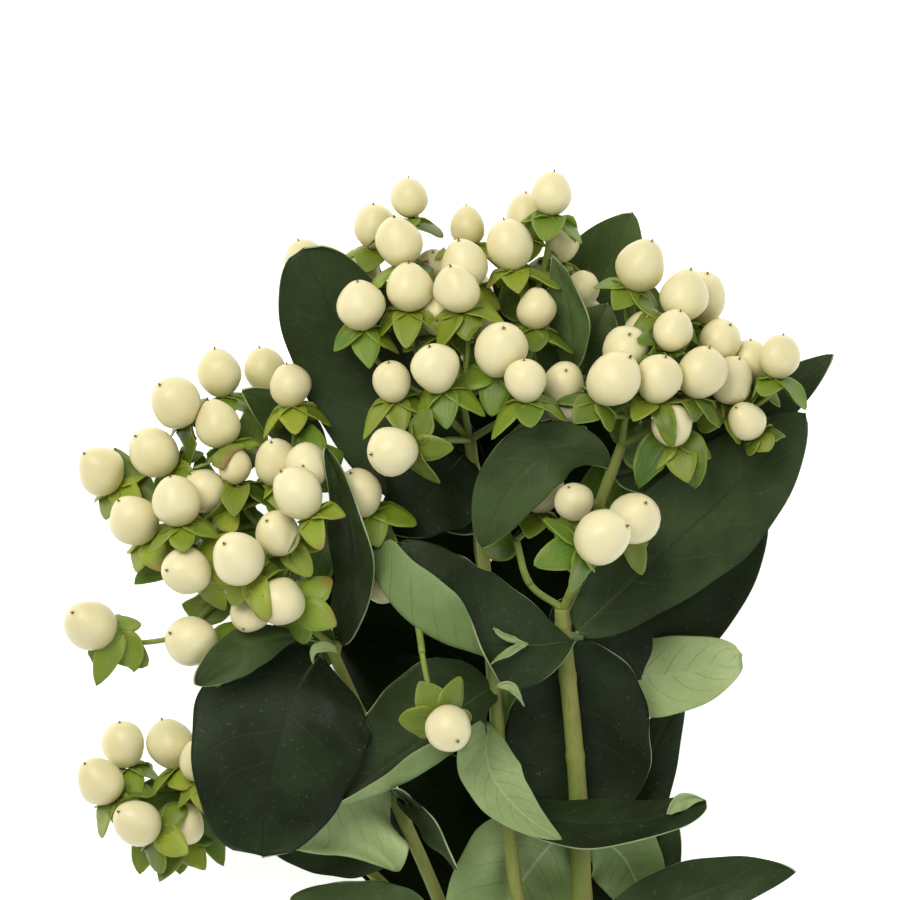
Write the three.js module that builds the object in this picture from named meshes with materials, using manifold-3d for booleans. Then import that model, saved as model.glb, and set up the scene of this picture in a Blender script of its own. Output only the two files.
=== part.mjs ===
// Hypericum berry stem, cut and laid on a table: one woody stem that forks into leafy shoots, each ending
// in a spray of ivory berries on green five-lobed calyces. Millimetres, +Z up, the tips towards +Y.
// Leaves, sprays and the branched stem are separate solids. A leaf is bent up or down, as a soft blade
// is in a bunch, until it clears the berries, stalks and leaves that it meets.
import * as THREE from "three";
import { mergeVertices } from "three/addons/utils/BufferGeometryUtils.js";
import Module from "manifold-3d";

const wasm = await Module();
wasm.setup();

// Driving dimensions.
const BLADE = 0.8; // thickness of a leaf
const SEAT = 0.3; // gap kept where a leaf or a spray sits on the stem
const CLEAR = 0.7; // room that a leaf keeps from what it passes
const SMALL = 0.02; // slivers thinner than this are merged away
const STALK = 0.75; // radius of a berry's own stalk
const FORK_STALK = 1.0; // radius of the stalks between forks
const CAP = 0.6; // how far such a stalk is pointed past its fork
const SEPAL = 9.5; // length of a sepal
const SEPAL_HALF = 3.0; // half its width
const BERRY_LONG = 1.1; // a berry's half length over its radius
const ORIGIN = [0, -18.3]; // where the origin lies on the drawing below, under the middle of the whole

// Surface finishes: colour, roughness.
const FINISH = {
  berry: ["#ece2b4", 0.4],
  leaf: ["#2f4229", 0.45],
  bract: ["#6f8f33", 0.5],
  stem: ["#8a9a4c", 0.55],
};

// The branched stem: each shoot is [points [x, y, z], radius at its foot, radius at its tip].
const SHOOTS = {
  main: [[[37.5, -218, 3.0], [36.5, -150, 8], [35, -85, 18], [33, 0, 38], [32.4, 20, 43], [31, 40, 47],
    [28.8, 62, 52], [28, 73, 56]], 3.0, 1.9],
  middle: [[[34.6, -72, 21], [24, -32, 29], [17, 0, 37], [14, 25, 42], [12, 42, 45], [10, 65, 48],
    [8, 90, 52], [5, 115, 60]], 1.9, 1.5],
  left: [[[35, -98, 15.5], [16, -48, 20], [-3, 0, 29], [-13, 23, 34], [-22, 45, 40], [-29, 61, 46],
    [-30, 64, 48]], 1.8, 1.4],
  lower_left: [[[6, -24, 24], [-8, -6, 22], [-24, 10, 22], [-40, 20, 24], [-56, 26, 30]], 1.5, 1.2],
  inner_left: [[[-29, 60, 45], [-25, 80, 49], [-27, 98, 49], [-32, 110, 50]], 1.2, 0.9],
  right: [[[28, 71, 55], [35, 88, 61], [37, 98, 63], [43, 114, 66]], 1.5, 1.3],
  back: [[[34.2, -62, 23], [27, -36, 16], [20, -5, 13], [12, 50, 11], [7, 92, 11], [6, 104, 13]],
    1.6, 1.3],
};

// The sprays: forks [x, y, z, the fork or root that it grows from], the first being the root on the stem,
// and berries [x, y, z, radius, heading and lift of the tip in degrees, fork].
const SPRAYS = {
  spray_top: {
    forks: [[5, 115, 60, 0], [-2, 124, 66, 0], [2, 142, 52, 1], [3, 126, 66, 0], [1, 143, 54, 3],
      [18, 124, 64, 0], [20, 146, 52, 5], [28, 132, 50, 5], [-1, 115, 72, 0]],
    berries: [
      [-10.3, 175.3, 52, 4.5, 91, 5, 2], [-19, 168, 46, 5.0, 92, 15, 2],
      [-12.8, 164.3, 63, 5.6, 100, 20, 2], [-22, 157, 46, 4.5, 100, 20, 2],
      [-36, 159.5, 44, 5.0, 110, 10, 2], [4.5, 168.5, 50, 4.3, 95, 5, 4],
      [3.3, 158.5, 62, 5.8, 100, 25, 4], [-4, 158, 50, 4.3, 94, 40, 4],
      [1.8, 152.4, 74, 5.5, 106, 25, 3], [-10.3, 153, 68, 5.6, 90, 20, 1],
      [-22.3, 148.3, 69, 5.7, 97, 25, 1], [-2.5, 145.9, 64, 4.6, 90, 20, 3],
      [8.5, 144, 56, 4.0, 80, 10, 5], [15, 163.4, 62, 5.7, 103, 10, 6], [18.8, 171, 50, 5.0, 88, 15, 6],
      [25.7, 176.3, 58, 4.9, 86, 8, 6], [28, 164, 46, 4.3, 80, 10, 6],
      [21.5, 147.6, 66, 4.6, 84, 15, 5], [32.8, 152.4, 50, 4.2, 70, 10, 7],
      [34, 146, 45, 3.8, 60, 5, 7], [12.5, 137, 78, 6.4, 82, 42, 3], [-3.3, 132.6, 81, 5.7, 108, 30, 1],
      [-14.4, 129.3, 75, 4.7, 100, 28, 1], [18.8, 129.4, 84, 4.8, 94, 22, 5],
      [28.3, 128.8, 72, 5.2, 80, 55, 5], [28.5, 123, 68, 4.5, 80, 20, 5],
      [-14.1, 112.5, 86, 5.9, 192, 38, 8],
    ],
  },
  spray_right: {
    forks: [[43, 114, 66, 0], [44, 121, 69, 0], [51, 131, 56, 1], [59, 121, 62, 0], [69, 122, 51, 3]],
    berries: [
      [47.7, 158.4, 60, 5.9, 66, 22, 2], [58.5, 150.9, 62, 5.9, 76, 15, 2],
      [63.3, 150.3, 50, 5.6, 80, 25, 2], [48.4, 142, 60, 4.7, 84, 30, 2],
      [55.4, 142, 70, 4.9, 68, 20, 2], [43.9, 137, 70, 5.7, 79, 50, 1],
      [40.5, 129.9, 83, 6.3, 53, 25, 1], [51.8, 129.9, 78, 5.4, 72, 25, 1],
      [62.5, 131.6, 72, 5.8, 71, 20, 3], [70, 129.9, 62, 5.3, 67, 28, 4],
      [67.1, 139.4, 58, 5.0, 56, 33, 4], [75, 134.4, 54, 4.7, 88, 15, 4],
      [82.2, 135.5, 61, 4.9, 80, 12, 4], [55.6, 118.6, 74, 5.0, 100, 42, 3],
      [74.3, 119.6, 65, 4.6, 130, 35, 4],
    ],
  },
  spray_low_right: {
    forks: [[28, 73, 56, 0], [33, 81, 68, 0], [20, 79, 60, 0], [16.5, 90, 62, 2]],
    berries: [
      [37.7, 90.8, 92, 6.4, 24, 30, 1], [45.7, 95.4, 82, 6.1, 53, 48, 1],
      [31, 99.3, 76, 4.5, 110, 40, 1], [22.5, 102.5, 64, 5.4, 80, 20, 3],
    ],
  },
  spray_middle: {
    forks: [[9.4, 74, 49, 0], [-4, 84, 58, 0], [-8, 76, 64, 1], [-7, 62, 72, 2]],
    berries: [
      [-0.4, 43.4, 82, 5.8, 305, 55, 3], [-16, 79.5, 56, 4.8, 225, 20, 1],
    ],
  },
  spray_left: {
    forks: [[-30, 64, 48, 0], [-42, 74, 55, 0], [-55, 76, 54, 1], [-46, 92, 55, 1], [-62, 90, 48, 3],
      [-54, 108, 44, 3], [-67, 66, 50, 2]],
    berries: [
      [-57.8, 131.5, 44, 5.4, 100, 12, 5], [-46.5, 132.3, 39, 5.1, 102, 8, 5],
      [-40, 128.3, 58, 4.8, 98, 12, 3], [-68.5, 124.3, 56, 6.0, 132, 34, 5],
      [-58, 119, 57, 5.3, 112, 10, 5], [-73.8, 111.8, 52, 5.8, 139, 30, 4],
      [-87.3, 107.4, 46, 5.6, 135, 30, 4], [-53.8, 108.3, 60, 4.2, 96, 15, 3],
      [-43.5, 109.3, 62, 5.5, 102, 38, 3], [-35.5, 108.5, 70, 5.3, 180, 80, 3],
      [-38, 101.4, 80, 6.0, 125, 15, 3], [-42.9, 91.6, 72, 5.5, 130, 50, 1],
      [-68.3, 99.5, 68, 5.7, 103, 18, 4], [-60.8, 102.1, 58, 5.2, 133, 20, 4],
      [-78.8, 94.8, 58, 5.9, 128, 30, 4], [-65.8, 82.5, 70, 5.8, 180, 47, 2],
      [-53.1, 85.3, 80, 6.3, 128, 50, 2], [-41.9, 75, 75, 5.8, 165, 52, 1],
      [-50, 72, 65, 4.6, 250, 40, 1], [-90, 68.8, 46, 6.1, 146, 45, 6],
      [-64.3, 64.3, 62, 6.1, 156, 35, 6],
    ],
  },
  spray_inner_left: {
    forks: [[-25.5, 84, 50, 0], [-22, 90, 55, 0]],
    berries: [[-22.3, 101.5, 64, 5.4, 115, 32, 1]],
  },
  spray_lower_left: {
    forks: [[-56, 26, 30, 0], [-65, 28, 28, 0], [-72, 20, 30, 0]],
    berries: [
      [-81.8, 38.3, 34, 5.3, 100, 20, 1], [-69.9, 38.5, 36, 5.7, 110, 8, 1],
      [-63, 34.5, 45, 4.8, 102, 20, 1], [-87.5, 29.5, 40, 5.5, 132, 30, 2],
      [-78.3, 19.5, 44, 5.6, 152, 40, 2], [-67, 18.5, 37, 5.0, 80, 50, 2],
    ],
  },
  spray_back: {
    forks: [[6, 104, 13, 0], [-4, 118, 14, 0], [4, 132, 17, 1], [20, 120, 15, 0], [34, 126, 18, 3]],
    berries: [
      [-6, 149, 27, 5.0, 100, 5, 2], [6, 152, 25, 4.8, 80, 0, 2], [20, 142, 23, 5.0, 70, 5, 3],
      [53, 138, 27, 4.8, 40, 10, 4], [-20, 136, 22, 5.2, 125, 10, 1], [8, 137, 10, 5.0, 90, -20, 2],
      [-12, 127, 12, 5.2, 120, -5, 1], [32, 137, 13, 5.0, 75, -10, 4],
    ],
  },
};

// The leaves, from the ones on the table to the ones on top. Each has its midrib from foot to tip, its
// width, and where these differ from LEAF: its roll at foot and tip (0 shows the upper face, 180 the pale
// one), the curl of its left and right half in radians, the wave of its edge, how full its foot and tip are
// (less is fuller), where it is widest, a fold [side, where along, where across, angle] and its finish.
const LEAVES = {
  leaf_back_top: { rib: [[7.2, 90.5, 11.2], [6, 106, -8], [13, 158, 0]],
    wide: 24, roll: [180, 180], curl: [-0.1, -0.1], foot: 0.9, belly: 0.6 },
  leaf_back_left: { rib: [[9.4, 55, 9], [-10, 68, 2], [-38, 92, -3]],
    wide: 30, roll: [180, 180], curl: [-0.3, -0.3] },
  leaf_back_right: { rib: [[13.6, 48, 9], [35, 62, 2], [62, 88, -3]],
    wide: 30, roll: [180, 180], curl: [-0.3, -0.3] },
  leaf_back_top_left: { rib: [[5.6, 94, 9], [-8, 112, 2], [-27, 146, -3]],
    wide: 28, roll: [180, 180], curl: [-0.3, -0.2] },
  leaf_back_top_right: { rib: [[8.6, 93, 9], [28, 110, 2], [46, 146, -3]],
    wide: 28, roll: [180, 180], curl: [-0.2, -0.3] },
  leaf_back_low_left: { rib: [[18.2, -4, 11], [-2, 8, 3], [-34, 22, -3]],
    wide: 28, roll: [180, 180], curl: [-0.3, -0.3] },
  leaf_back_low_right: { rib: [[22, -6, 11], [32, 8, 3], [52, 26, -3]],
    wide: 24, roll: [180, 180], curl: [-0.3, -0.3] },
  leaf_back_middle: { rib: [[8.0, 71, 9], [-2, 80, 2], [-16, 101, -3]],
    wide: 24, roll: [180, 180], curl: [-0.2, -0.2] },
  leaf_back_inner: { rib: [[11.6, 65, 9], [23, 75, 2], [33, 104, -3]],
    wide: 26, roll: [180, 180], curl: [-0.2, -0.2] },
  leaf_back_lower: { rib: [[13.4, 30, 9.6], [0, 42, 3], [-28, 64, -2]],
    wide: 26, roll: [180, 180], curl: [-0.2, -0.2] },
  leaf_back_foot: { rib: [[16.6, 8, 10.3], [4, 16, 3], [-14, 42, -2]],
    wide: 24, roll: [180, 180], curl: [-0.2, -0.2] },
  leaf_low_dark: { rib: [[34.2, -14, 34], [46, -4, 27], [54, 15, 27]], wide: 19, curl: [-0.2, -0.2] },
  leaf_side: { rib: [[34.2, 0, 34], [47, 6, 28], [49, 27, 27], [57, 46, 27]],
    wide: 20, curl: [-0.2, -0.2], belly: 0.42 },
  leaf_low_left_dark: { rib: [[-10.2, 17, 31.6], [-28, 12, 32], [-47, 15, 32]], wide: 18, wave: 0.05 },
  leaf_low_pale_right: { rib: [[35, 15, 38.5], [44, 12, 34], [46, -8, 32]],
    wide: 16, roll: [180, 180], wave: 0.05 },
  leaf_low_pale: { rib: [[29.6, 18, 39], [16, 6, 36], [0, -28, 34]],
    wide: 33, roll: [180, 180], wave: 0.05 },
  leaf_low_green: { rib: [[-2, -12, 28], [-20, -7, 34], [-40, -1, 36]], wide: 22, wave: 0.05 },
  leaf_right_under: { rib: [[30.6, 77, 55.6], [38, 58, 26], [68, 78, 36], [80, 97, 46]],
    wide: 37, curl: [-0.2, -0.2] },
  leaf_right_pale: { rib: [[29.8, 69, 53.5], [36, 50, 34], [55, 50, 42], [73.5, 59, 46]],
    wide: 22, roll: [180, 180], wave: 0.04 },
  leaf_under_stem: { rib: [[28, 63.5, 50], [33, 54, 43], [33, 38, 42], [31, 17, 38]],
    wide: 37, foot: 0.6, tip: 0.45, belly: 0.6 },
  leaf_top_back: { rib: [[15.5, 122, 61.6], [24, 128, 30], [35.5, 150, 28], [45.5, 172, 38]],
    wide: 26, belly: 0.55 },
  leaf_right_back: { rib: [[41, 106, 60], [66, 112, 40], [96, 136.5, 42]], wide: 19 },
  leaf_low_left_pale: { rib: [[-16.6, 31, 36.4], [-24, 28, 48], [-38.5, 12.5, 44]],
    wide: 24, roll: [180, 180], wave: 0.06 },
  leaf_top_left: { rib: [[7, 92, 51], [-12, 116, 47], [-28, 141, 54], [-36.5, 163, 57]],
    wide: 33, tip: 0.42, belly: 0.5 },
  leaf_centre_left: { rib: [[4, 112, 58], [-4, 103, 55], [-15, 92, 52]], wide: 25 },
  leaf_left_small: { rib: [[-32.2, 109.6, 49.4], [-40, 121, 46], [-52, 127.5, 52]],
    wide: 8.5, curl: [0.3, 0.3] },
  leaf_top_small: { rib: [[33, 131, 52], [35, 140, 59], [39.5, 149, 58]], wide: 15, curl: [0.3, 0.3] },
  leaf_top_narrow: { rib: [[30, 133, 59], [32, 146, 64], [25.5, 161, 62]],
    wide: 11, roll: [-30, -30], curl: [0.3, 0.3], tip: 0.9 },
  leaf_right_big: { rib: [[31.5, 67, 58], [50, 84, 64], [70, 101, 57], [89, 121.5, 48]],
    wide: 29, curl: [-0.15, -0.2],
    foot: 0.4, tip: 0.7, belly: 0.56 },
  leaf_centre: { rib: [[40.2, 108, 65], [29, 121, 78], [13, 108, 79], [8, 88, 70]],
    wide: 18, belly: 0.6 },
  leaf_middle: { rib: [[30.8, 65, 56.5], [16, 62, 67], [-10, 62, 71], [-19, 87, 66]],
    wide: 38, curl: [0.1, 0.3], foot: 0.6,
    tip: 0.3, belly: 0.62, fold: [-1, 0.2, 0.02, 2.6] },
  leaf_left_fold: { rib: [[-28.2, 65, 47.4], [-12, 84, 71], [-31, 113, 74]],
    wide: 20, roll: [-50, -50], curl: [0.3, 0.3] },
  leaf_low_middle: { rib: [[10.8, 53, 47], [0, 47, 59], [-12, 37, 60], [-29, 24, 56]],
    wide: 27, curl: [0.2, 0.2],
    fold: [-1, 0.25, 0.5, 2.3] },
  leaf_low_narrow: { rib: [[-14.6, 26.5, 35], [-5, 21, 47], [1.6, 7.5, 50]],
    wide: 12, roll: [65, 65], tip: 0.95 },
  leaf_front: { rib: [[14.3, 24, 42.5], [26, 17, 60], [48, 17, 62], [64, 24.5, 57]],
    wide: 17, roll: [-45, -45], tip: 0.45 },
  leaf_low_centre: { rib: [[12.6, 36, 44.8], [9, 31.5, 60], [16, 24, 63], [26, 18, 61]],
    wide: 19, roll: [150, 180], curl: [0.2, 0.5] },
  leaf_low_right: { rib: [[34.6, -12, 38], [50, -4.5, 46], [68, 4.5, 48], [86.5, 6.7, 44]],
    wide: 17, wave: 0.04 },
  leaf_left_big: { rib: [[-32.4, 61, 51], [-38, 56, 62], [-47, 36, 62], [-47, 11, 56]],
    wide: 44, curl: [-0.15, -0.15],
    foot: 0.45, tip: 0.36, belly: 0.5 },
  leaf_left_bract: { rib: [[-33.6, 66, 53], [-44, 66, 66], [-56, 60, 67], [-64, 56, 62]],
    wide: 10, finish: "bract" },
};
const LEAF = { roll: [0, 0], curl: [0.15, 0.15], wave: 0.03, foot: 0.55, tip: 0.7, belly: 0.42,
  fold: null, finish: "leaf" };

const vector = (p) => new THREE.Vector3(p[0], p[1], p[2]);
const mix = THREE.MathUtils.lerp;
const ease = THREE.MathUtils.smoothstep;
const radians = THREE.MathUtils.degToRad;

const TABLE_LEAF = BLADE / 2; // lowest that a blade's middle may lie
const ROWS = 7; // cells of a leaf's net from foot to tip
const COLUMNS = 4; // and from edge to edge

// How far along row i lies, closer together near both ends, and how far across column j.
const alongAt = (i) => mix(i / ROWS, 0.5 - 0.5 * Math.cos((Math.PI * i) / ROWS), 0.6);
const acrossAt = (j) => (2 * j) / COLUMNS - 1;

// A repeatable number from 0 to 1 for each whole number k.
function chance(k) {
  const s = Math.sin((k + 1) * 12.9898) * 43758.5453;
  return s - Math.floor(s);
}

// Two unit vectors square to an axis and to each other.
function crossAxes(axis) {
  const helper = Math.abs(axis.z) < 0.9 ? new THREE.Vector3(0, 0, 1) : new THREE.Vector3(0, 1, 0);
  const u = new THREE.Vector3().crossVectors(helper, axis).normalize();
  return [u, new THREE.Vector3().crossVectors(axis, u)];
}

// A closed body skinned over rings of points, which may differ in number, with a point closing each end.
function skin(first, rings, last) {
  const points = [first, ...rings.flat(), last];
  const start = [];
  let at = 1;
  for (const ring of rings) {
    start.push(at);
    at += ring.length;
  }
  const faces = [];
  const n0 = rings[0].length;
  for (let i = 0; i < n0; i++) faces.push([0, 1 + ((i + 1) % n0), 1 + i]);
  for (let k = 0; k + 1 < rings.length; k++) {
    const [n, m] = [rings[k].length, rings[k + 1].length];
    const a = (i) => start[k] + (i % n);
    const b = (j) => start[k + 1] + (j % m);
    let [i, j] = [0, 0];
    while (i < n || j < m) {
      if (j >= m || (i < n && (i + 1) * m <= (j + 1) * n)) {
        faces.push([a(i), a(i + 1), b(j)]);
        i++;
      } else {
        faces.push([a(i), b(j + 1), b(j)]);
        j++;
      }
    }
  }
  const end = rings.length - 1;
  const n1 = rings[end].length;
  const close = points.length - 1;
  for (let i = 0; i < n1; i++) faces.push([start[end] + i, start[end] + ((i + 1) % n1), close]);
  return { points, faces };
}

// A manifold-3d solid from points and faces.
function solid({ points, faces }) {
  const raw = new THREE.BufferGeometry();
  const numbers = points.flatMap((p) => [p.x, p.y, p.z]);
  raw.setAttribute("position", new THREE.Float32BufferAttribute(numbers, 3));
  raw.setIndex(faces.flat());
  const merged = mergeVertices(raw, 1e-4);
  const vertProperties = merged.attributes.position.array;
  const triVerts = new Uint32Array(merged.index.array);
  return new wasm.Manifold(new wasm.Mesh({ numProp: 3, vertProperties, triVerts }));
}

// A point moved by given lengths along given directions: shifted(point, direction, length, ...).
function shifted(point, ...moves) {
  const p = point.clone();
  for (let k = 0; k < moves.length; k += 2) p.addScaledVector(moves[k], moves[k + 1]);
  return p;
}

function circle(centre, axis, radius, sides) {
  const [u, w] = crossAxes(axis);
  return Array.from({ length: sides }, (_, i) => {
    const a = (2 * Math.PI * i) / sides;
    return shifted(centre, u, radius * Math.cos(a), w, radius * Math.sin(a));
  });
}

const curveOf = (points) => new THREE.CatmullRomCurve3(points.map(vector), false, "catmullrom", 0.5);

// A tapering round shoot with flat ends, `more` thicker and longer than its own size.
function shoot([points, foot, tip], more = 0, sides = 6) {
  const curve = curveOf(points);
  const steps = 2 * (points.length - 1);
  const rings = [];
  for (let i = 0; i <= steps; i++) {
    const t = i / steps;
    const axis = curve.getTangent(t);
    const centre = curve.getPoint(t);
    if (i === steps) centre.addScaledVector(axis, more);
    rings.push(circle(centre, axis, mix(foot, tip, t) + more, sides));
  }
  return solid(skin(curve.getPoint(0), rings, shifted(curve.getPoint(1), curve.getTangent(1), more)));
}

// A berry's place: centre, axis towards its tip, and the middle of its calyx.
function berryFrame([x, y, z, radius, heading, lift]) {
  const [h, l] = [radians(heading), radians(lift)];
  const axis = new THREE.Vector3(Math.cos(l) * Math.cos(h), Math.cos(l) * Math.sin(h), Math.sin(l));
  const centre = new THREE.Vector3(x, y, z);
  return { centre, axis, radius, calyx: shifted(centre, axis, -BERRY_LONG * radius) };
}

// The middle line of a berry's stalk: it leaves the fork and runs into the calyx along the berry's axis.
function stalkLine(fork, berry) {
  const end = shifted(berry.calyx, berry.axis, -1);
  const bend = shifted(end, berry.axis, -0.4 * end.distanceTo(fork));
  return new THREE.QuadraticBezierCurve3(fork, bend, end);
}

// The outline of a calyx: five ovate sepals, bent back from the berry, each clear of other berries.
function calyxOutline(berry, seed, others) {
  const [u, w] = crossAxes(berry.axis);
  const outline = [];
  for (let lobe = 0; lobe < 5; lobe++) {
    const long = SEPAL * mix(0.82, 1.15, chance(seed + lobe));
    const back = mix(0.15, 0.85, chance(seed + lobe + 5));
    const turn = (2 * Math.PI * (lobe + 0.35 * chance(seed + 11))) / 5;
    const out = shifted(new THREE.Vector3(), u, Math.cos(turn), w, Math.sin(turn));
    const side = new THREE.Vector3().crossVectors(berry.axis, out);
    const place = (reach, across, drop) =>
      pushClear(shifted(berry.calyx, out, reach, side, across, berry.axis, -drop), others);
    outline.push(place(1.6, -1.15, 0.3));
    outline.push(place(0.55 * long, -SEPAL_HALF, 0.3 * back * long));
    outline.push(place(long * (1 - 0.25 * back), 0, 0.75 * back * long));
    outline.push(place(0.55 * long, SEPAL_HALF, 0.3 * back * long));
  }
  return outline;
}

function pushClear(point, balls) {
  for (const ball of balls) {
    const away = point.clone().sub(ball.centre);
    const gap = ball.radius * BERRY_LONG + 0.6 - away.length();
    if (gap > 0) point.addScaledVector(away.normalize(), gap);
  }
  return point;
}

// One berry with its calyx and stalk, as a single skin from the fork to the berry's tip.
function berrySolid(fork, berry, outline) {
  const line = stalkLine(fork, berry);
  const rings = [0, 0.5, 1].map((t) => circle(line.getPoint(t), line.getTangent(t), STALK, 3));
  const cut = crossAxes(berry.axis);
  const ring = (reach, along, sides) =>
    Array.from({ length: sides }, (_, i) => {
      const a = (2 * Math.PI * (i - 0.5)) / sides;
      const [c, s] = [reach * berry.radius * Math.cos(a), reach * berry.radius * Math.sin(a)];
      return shifted(berry.calyx, cut[0], c, cut[1], s, berry.axis, along * 2 * BERRY_LONG * berry.radius);
    });
  const body = [ring(0.5, 0.06, 5), ring(1.03, 0.42, 7), ring(0.77, 0.81, 7)];
  const tip = shifted(berry.centre, berry.axis, BERRY_LONG * berry.radius);
  return solid(skin(line.getPoint(0), [...rings, outline, ...body], tip));
}

// Balls along a line, for the room that stalks and shoots take up.
function ballsAlong(curve, radiusAt, step) {
  const count = Math.max(2, Math.ceil(curve.getLength() / step));
  return Array.from({ length: count + 1 }, (_, i) => {
    const t = i / count;
    return { centre: curve.getPointAt(t), radius: radiusAt(t) };
  });
}

// One spray: its forked stalks and its berries, fused, and the balls that fill the same room.
function buildSpray({ forks, berries }, seed) {
  const frames = berries.map(berryFrame);
  const joints = forks.map(vector);
  const solids = [];
  const balls = [];
  forks.forEach((fork, i) => {
    if (i === 0) return;
    const from = joints[fork[3]];
    const way = new THREE.LineCurve3(from, joints[i]);
    const axis = joints[i].clone().sub(from).normalize();
    const rings = [circle(from, axis, FORK_STALK, 4), circle(joints[i], axis, FORK_STALK, 4)];
    solids.push(solid(skin(shifted(from, axis, -CAP), rings, shifted(joints[i], axis, CAP))));
    balls.push(...ballsAlong(way, () => FORK_STALK, 1.5));
  });
  frames.forEach((berry, i) => {
    const close = (other) => other !== berry && other.centre.distanceTo(berry.centre) < 24;
    const others = frames.filter(close);
    const outline = calyxOutline(berry, seed + 20 * i, others);
    const fork = joints[berries[i][6]];
    solids.push(berrySolid(fork, berry, outline));
    balls.push({ centre: berry.centre, radius: berry.radius * 1.04, berry: true });
    balls.push(...ballsAlong(stalkLine(fork, berry), () => STALK, 1.5));
    outline.forEach((p) => {
      for (const t of [0.4, 0.7, 1]) balls.push({ centre: berry.calyx.clone().lerp(p, t), radius: 0.5 });
    });
  });
  return { body: wasm.Manifold.union(solids), balls };
}

// Half the width of a leaf at u, from foot (0) to tip (1).
function halfWidth({ wide, foot, tip, belly }, u) {
  const bow = Math.sin(Math.PI * Math.pow(u, Math.log(0.5) / Math.log(belly)));
  return (wide / 2) * Math.pow(Math.max(0, bow), mix(foot, tip, u));
}

function bezier(points, t) {
  let row = points.map(vector);
  while (row.length > 1) row = row.slice(1).map((p, i) => row[i].clone().lerp(p, t));
  return row[0];
}

// How far out and up the blade has come at v of a half, which curls evenly and may fold over.
function section(leaf, u, v) {
  const side = Math.sign(v);
  const [foldSide, from, start, angle] = leaf.fold ?? [0, 0, 0, 0];
  const turn = foldSide === side ? angle * ease(u, from, from + 0.22) : 0;
  const curl = side < 0 ? leaf.curl[0] : leaf.curl[1];
  const steps = 24;
  let [out, up] = [0, 0];
  for (let k = 0; k < steps; k++) {
    const s = (Math.abs(v) * (k + 0.5)) / steps;
    const lean = curl * s + turn * ease(s, start, start + 0.3);
    out += (Math.cos(lean) * Math.abs(v)) / steps;
    up += (Math.sin(lean) * Math.abs(v)) / steps;
  }
  return [side * out, up];
}

// The middle of the blade at u along the midrib and v across, from -1 to 1.
function bladePoint(leaf, u, v) {
  const ahead = bezier(leaf.rib, Math.min(1, u + 0.01));
  const tangent = ahead.sub(bezier(leaf.rib, Math.max(0, u - 0.01))).normalize();
  const face = new THREE.Vector3(0, 0, 1).addScaledVector(tangent, -tangent.z).normalize();
  face.applyAxisAngle(tangent, radians(mix(leaf.roll[0], leaf.roll[1], u)));
  const side = new THREE.Vector3().crossVectors(tangent, face);
  const half = halfWidth(leaf, u);
  const [out, up] = section(leaf, u, v);
  const phase = 2.2 * u + 0.3 * v + leaf.wide / 7;
  const ripple = leaf.wave * leaf.wide * v * v * Math.sin(2 * Math.PI * phase);
  return shifted(bezier(leaf.rib, u), side, half * out, face, half * up + ripple);
}

// The lowest and highest that a blade may pass over (x, y) of a point, from the balls near it.
function roomAt(point, balls, sides) {
  let [low, high] = [TABLE_LEAF, Infinity];
  balls.forEach((ball, i) => {
    const [dx, dy] = [point.x - ball.centre.x, point.y - ball.centre.y];
    const reach = ball.radius + BLADE / 2 + CLEAR;
    const square = reach * reach - dx * dx - dy * dy;
    if (square <= 0) return;
    if (sides[i] > 0) low = Math.max(low, ball.centre.z + Math.sqrt(square));
    else high = Math.min(high, ball.centre.z - Math.sqrt(square));
  });
  return low > high ? [(low + high) / 2, (low + high) / 2] : [low, high];
}

// Places spread evenly over a net, `fine` to each side of a cell: the four corners of the cell that each
// lies in, and how much each corner counts.
function samplesOf(fine) {
  const samples = [];
  for (let i = 0; i <= ROWS * fine; i++) {
    for (let j = 0; j <= COLUMNS * fine; j++) {
      const r = Math.min(ROWS - 1, Math.floor(i / fine));
      const c = Math.min(COLUMNS - 1, Math.floor(j / fine));
      const [a, b] = [i / fine - r, j / fine - c];
      const k = r * (COLUMNS + 1) + c;
      const corners = [k, k + 1, k + COLUMNS + 1, k + COLUMNS + 2];
      const weights = [(1 - a) * (1 - b), (1 - a) * b, a * (1 - b), a * b];
      samples.push({ along: i / fine, corners, weights });
    }
  }
  return samples;
}

function placeOf({ corners, weights }, net) {
  return shifted(new THREE.Vector3(), ...corners.flatMap((k, n) => [net[k], weights[n]]));
}

// The net of a leaf's points, moved up or down until the blade clears every ball.
function settledNet(leaf, balls) {
  const net = [];
  for (let i = 0; i <= ROWS; i++) {
    for (let j = 0; j <= COLUMNS; j++) net.push(bladePoint(leaf, alongAt(i), acrossAt(j)));
  }
  net.forEach((p) => (p.z = Math.max(TABLE_LEAF, p.z)));
  const foot = vector(leaf.rib[0]);
  const samples = samplesOf(4).filter((s) => s.along < ROWS);
  const placed = (s) => placeOf(s, net);
  const box = new THREE.Box3().setFromPoints(net).expandByScalar(9);
  box.min.z = -Infinity;
  box.max.z = Infinity;
  const near = balls.filter((b) => box.containsPoint(b.centre) && b.centre.distanceTo(foot) > 5);
  const points = samples.map(placed);
  const sides = near.map((ball) => {
    if (ball.under) return 1;
    let best = Infinity;
    let height = 0;
    points.forEach((p) => {
      const d = Math.hypot(p.x - ball.centre.x, p.y - ball.centre.y);
      if (d < best) [best, height] = [d, p.z];
    });
    return height >= ball.centre.z ? 1 : -1;
  });
  const rooms = points.map((p) => roomAt(p, near, sides));
  const rounds = 60;
  for (let round = 0; round < rounds; round++) {
    const push = net.map(() => 0);
    const weight = net.map(() => 1e-6);
    samples.forEach((s, n) => {
      const z = s.corners.reduce((sum, k, m) => sum + net[k].z * s.weights[m], 0);
      const [low, high] = rooms[n];
      const move = z < low ? low - z : z > high ? high - z : 0;
      if (move === 0 || points[n].distanceTo(foot) < 4) return;
      s.corners.forEach((k, m) => {
        push[k] += s.weights[m] * move;
        weight[k] += s.weights[m];
      });
    });
    net.forEach((p, k) => {
      if (k > COLUMNS) p.z = Math.max(TABLE_LEAF, p.z + (1.4 * push[k]) / weight[k]);
    });
  }
  return net;
}

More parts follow.
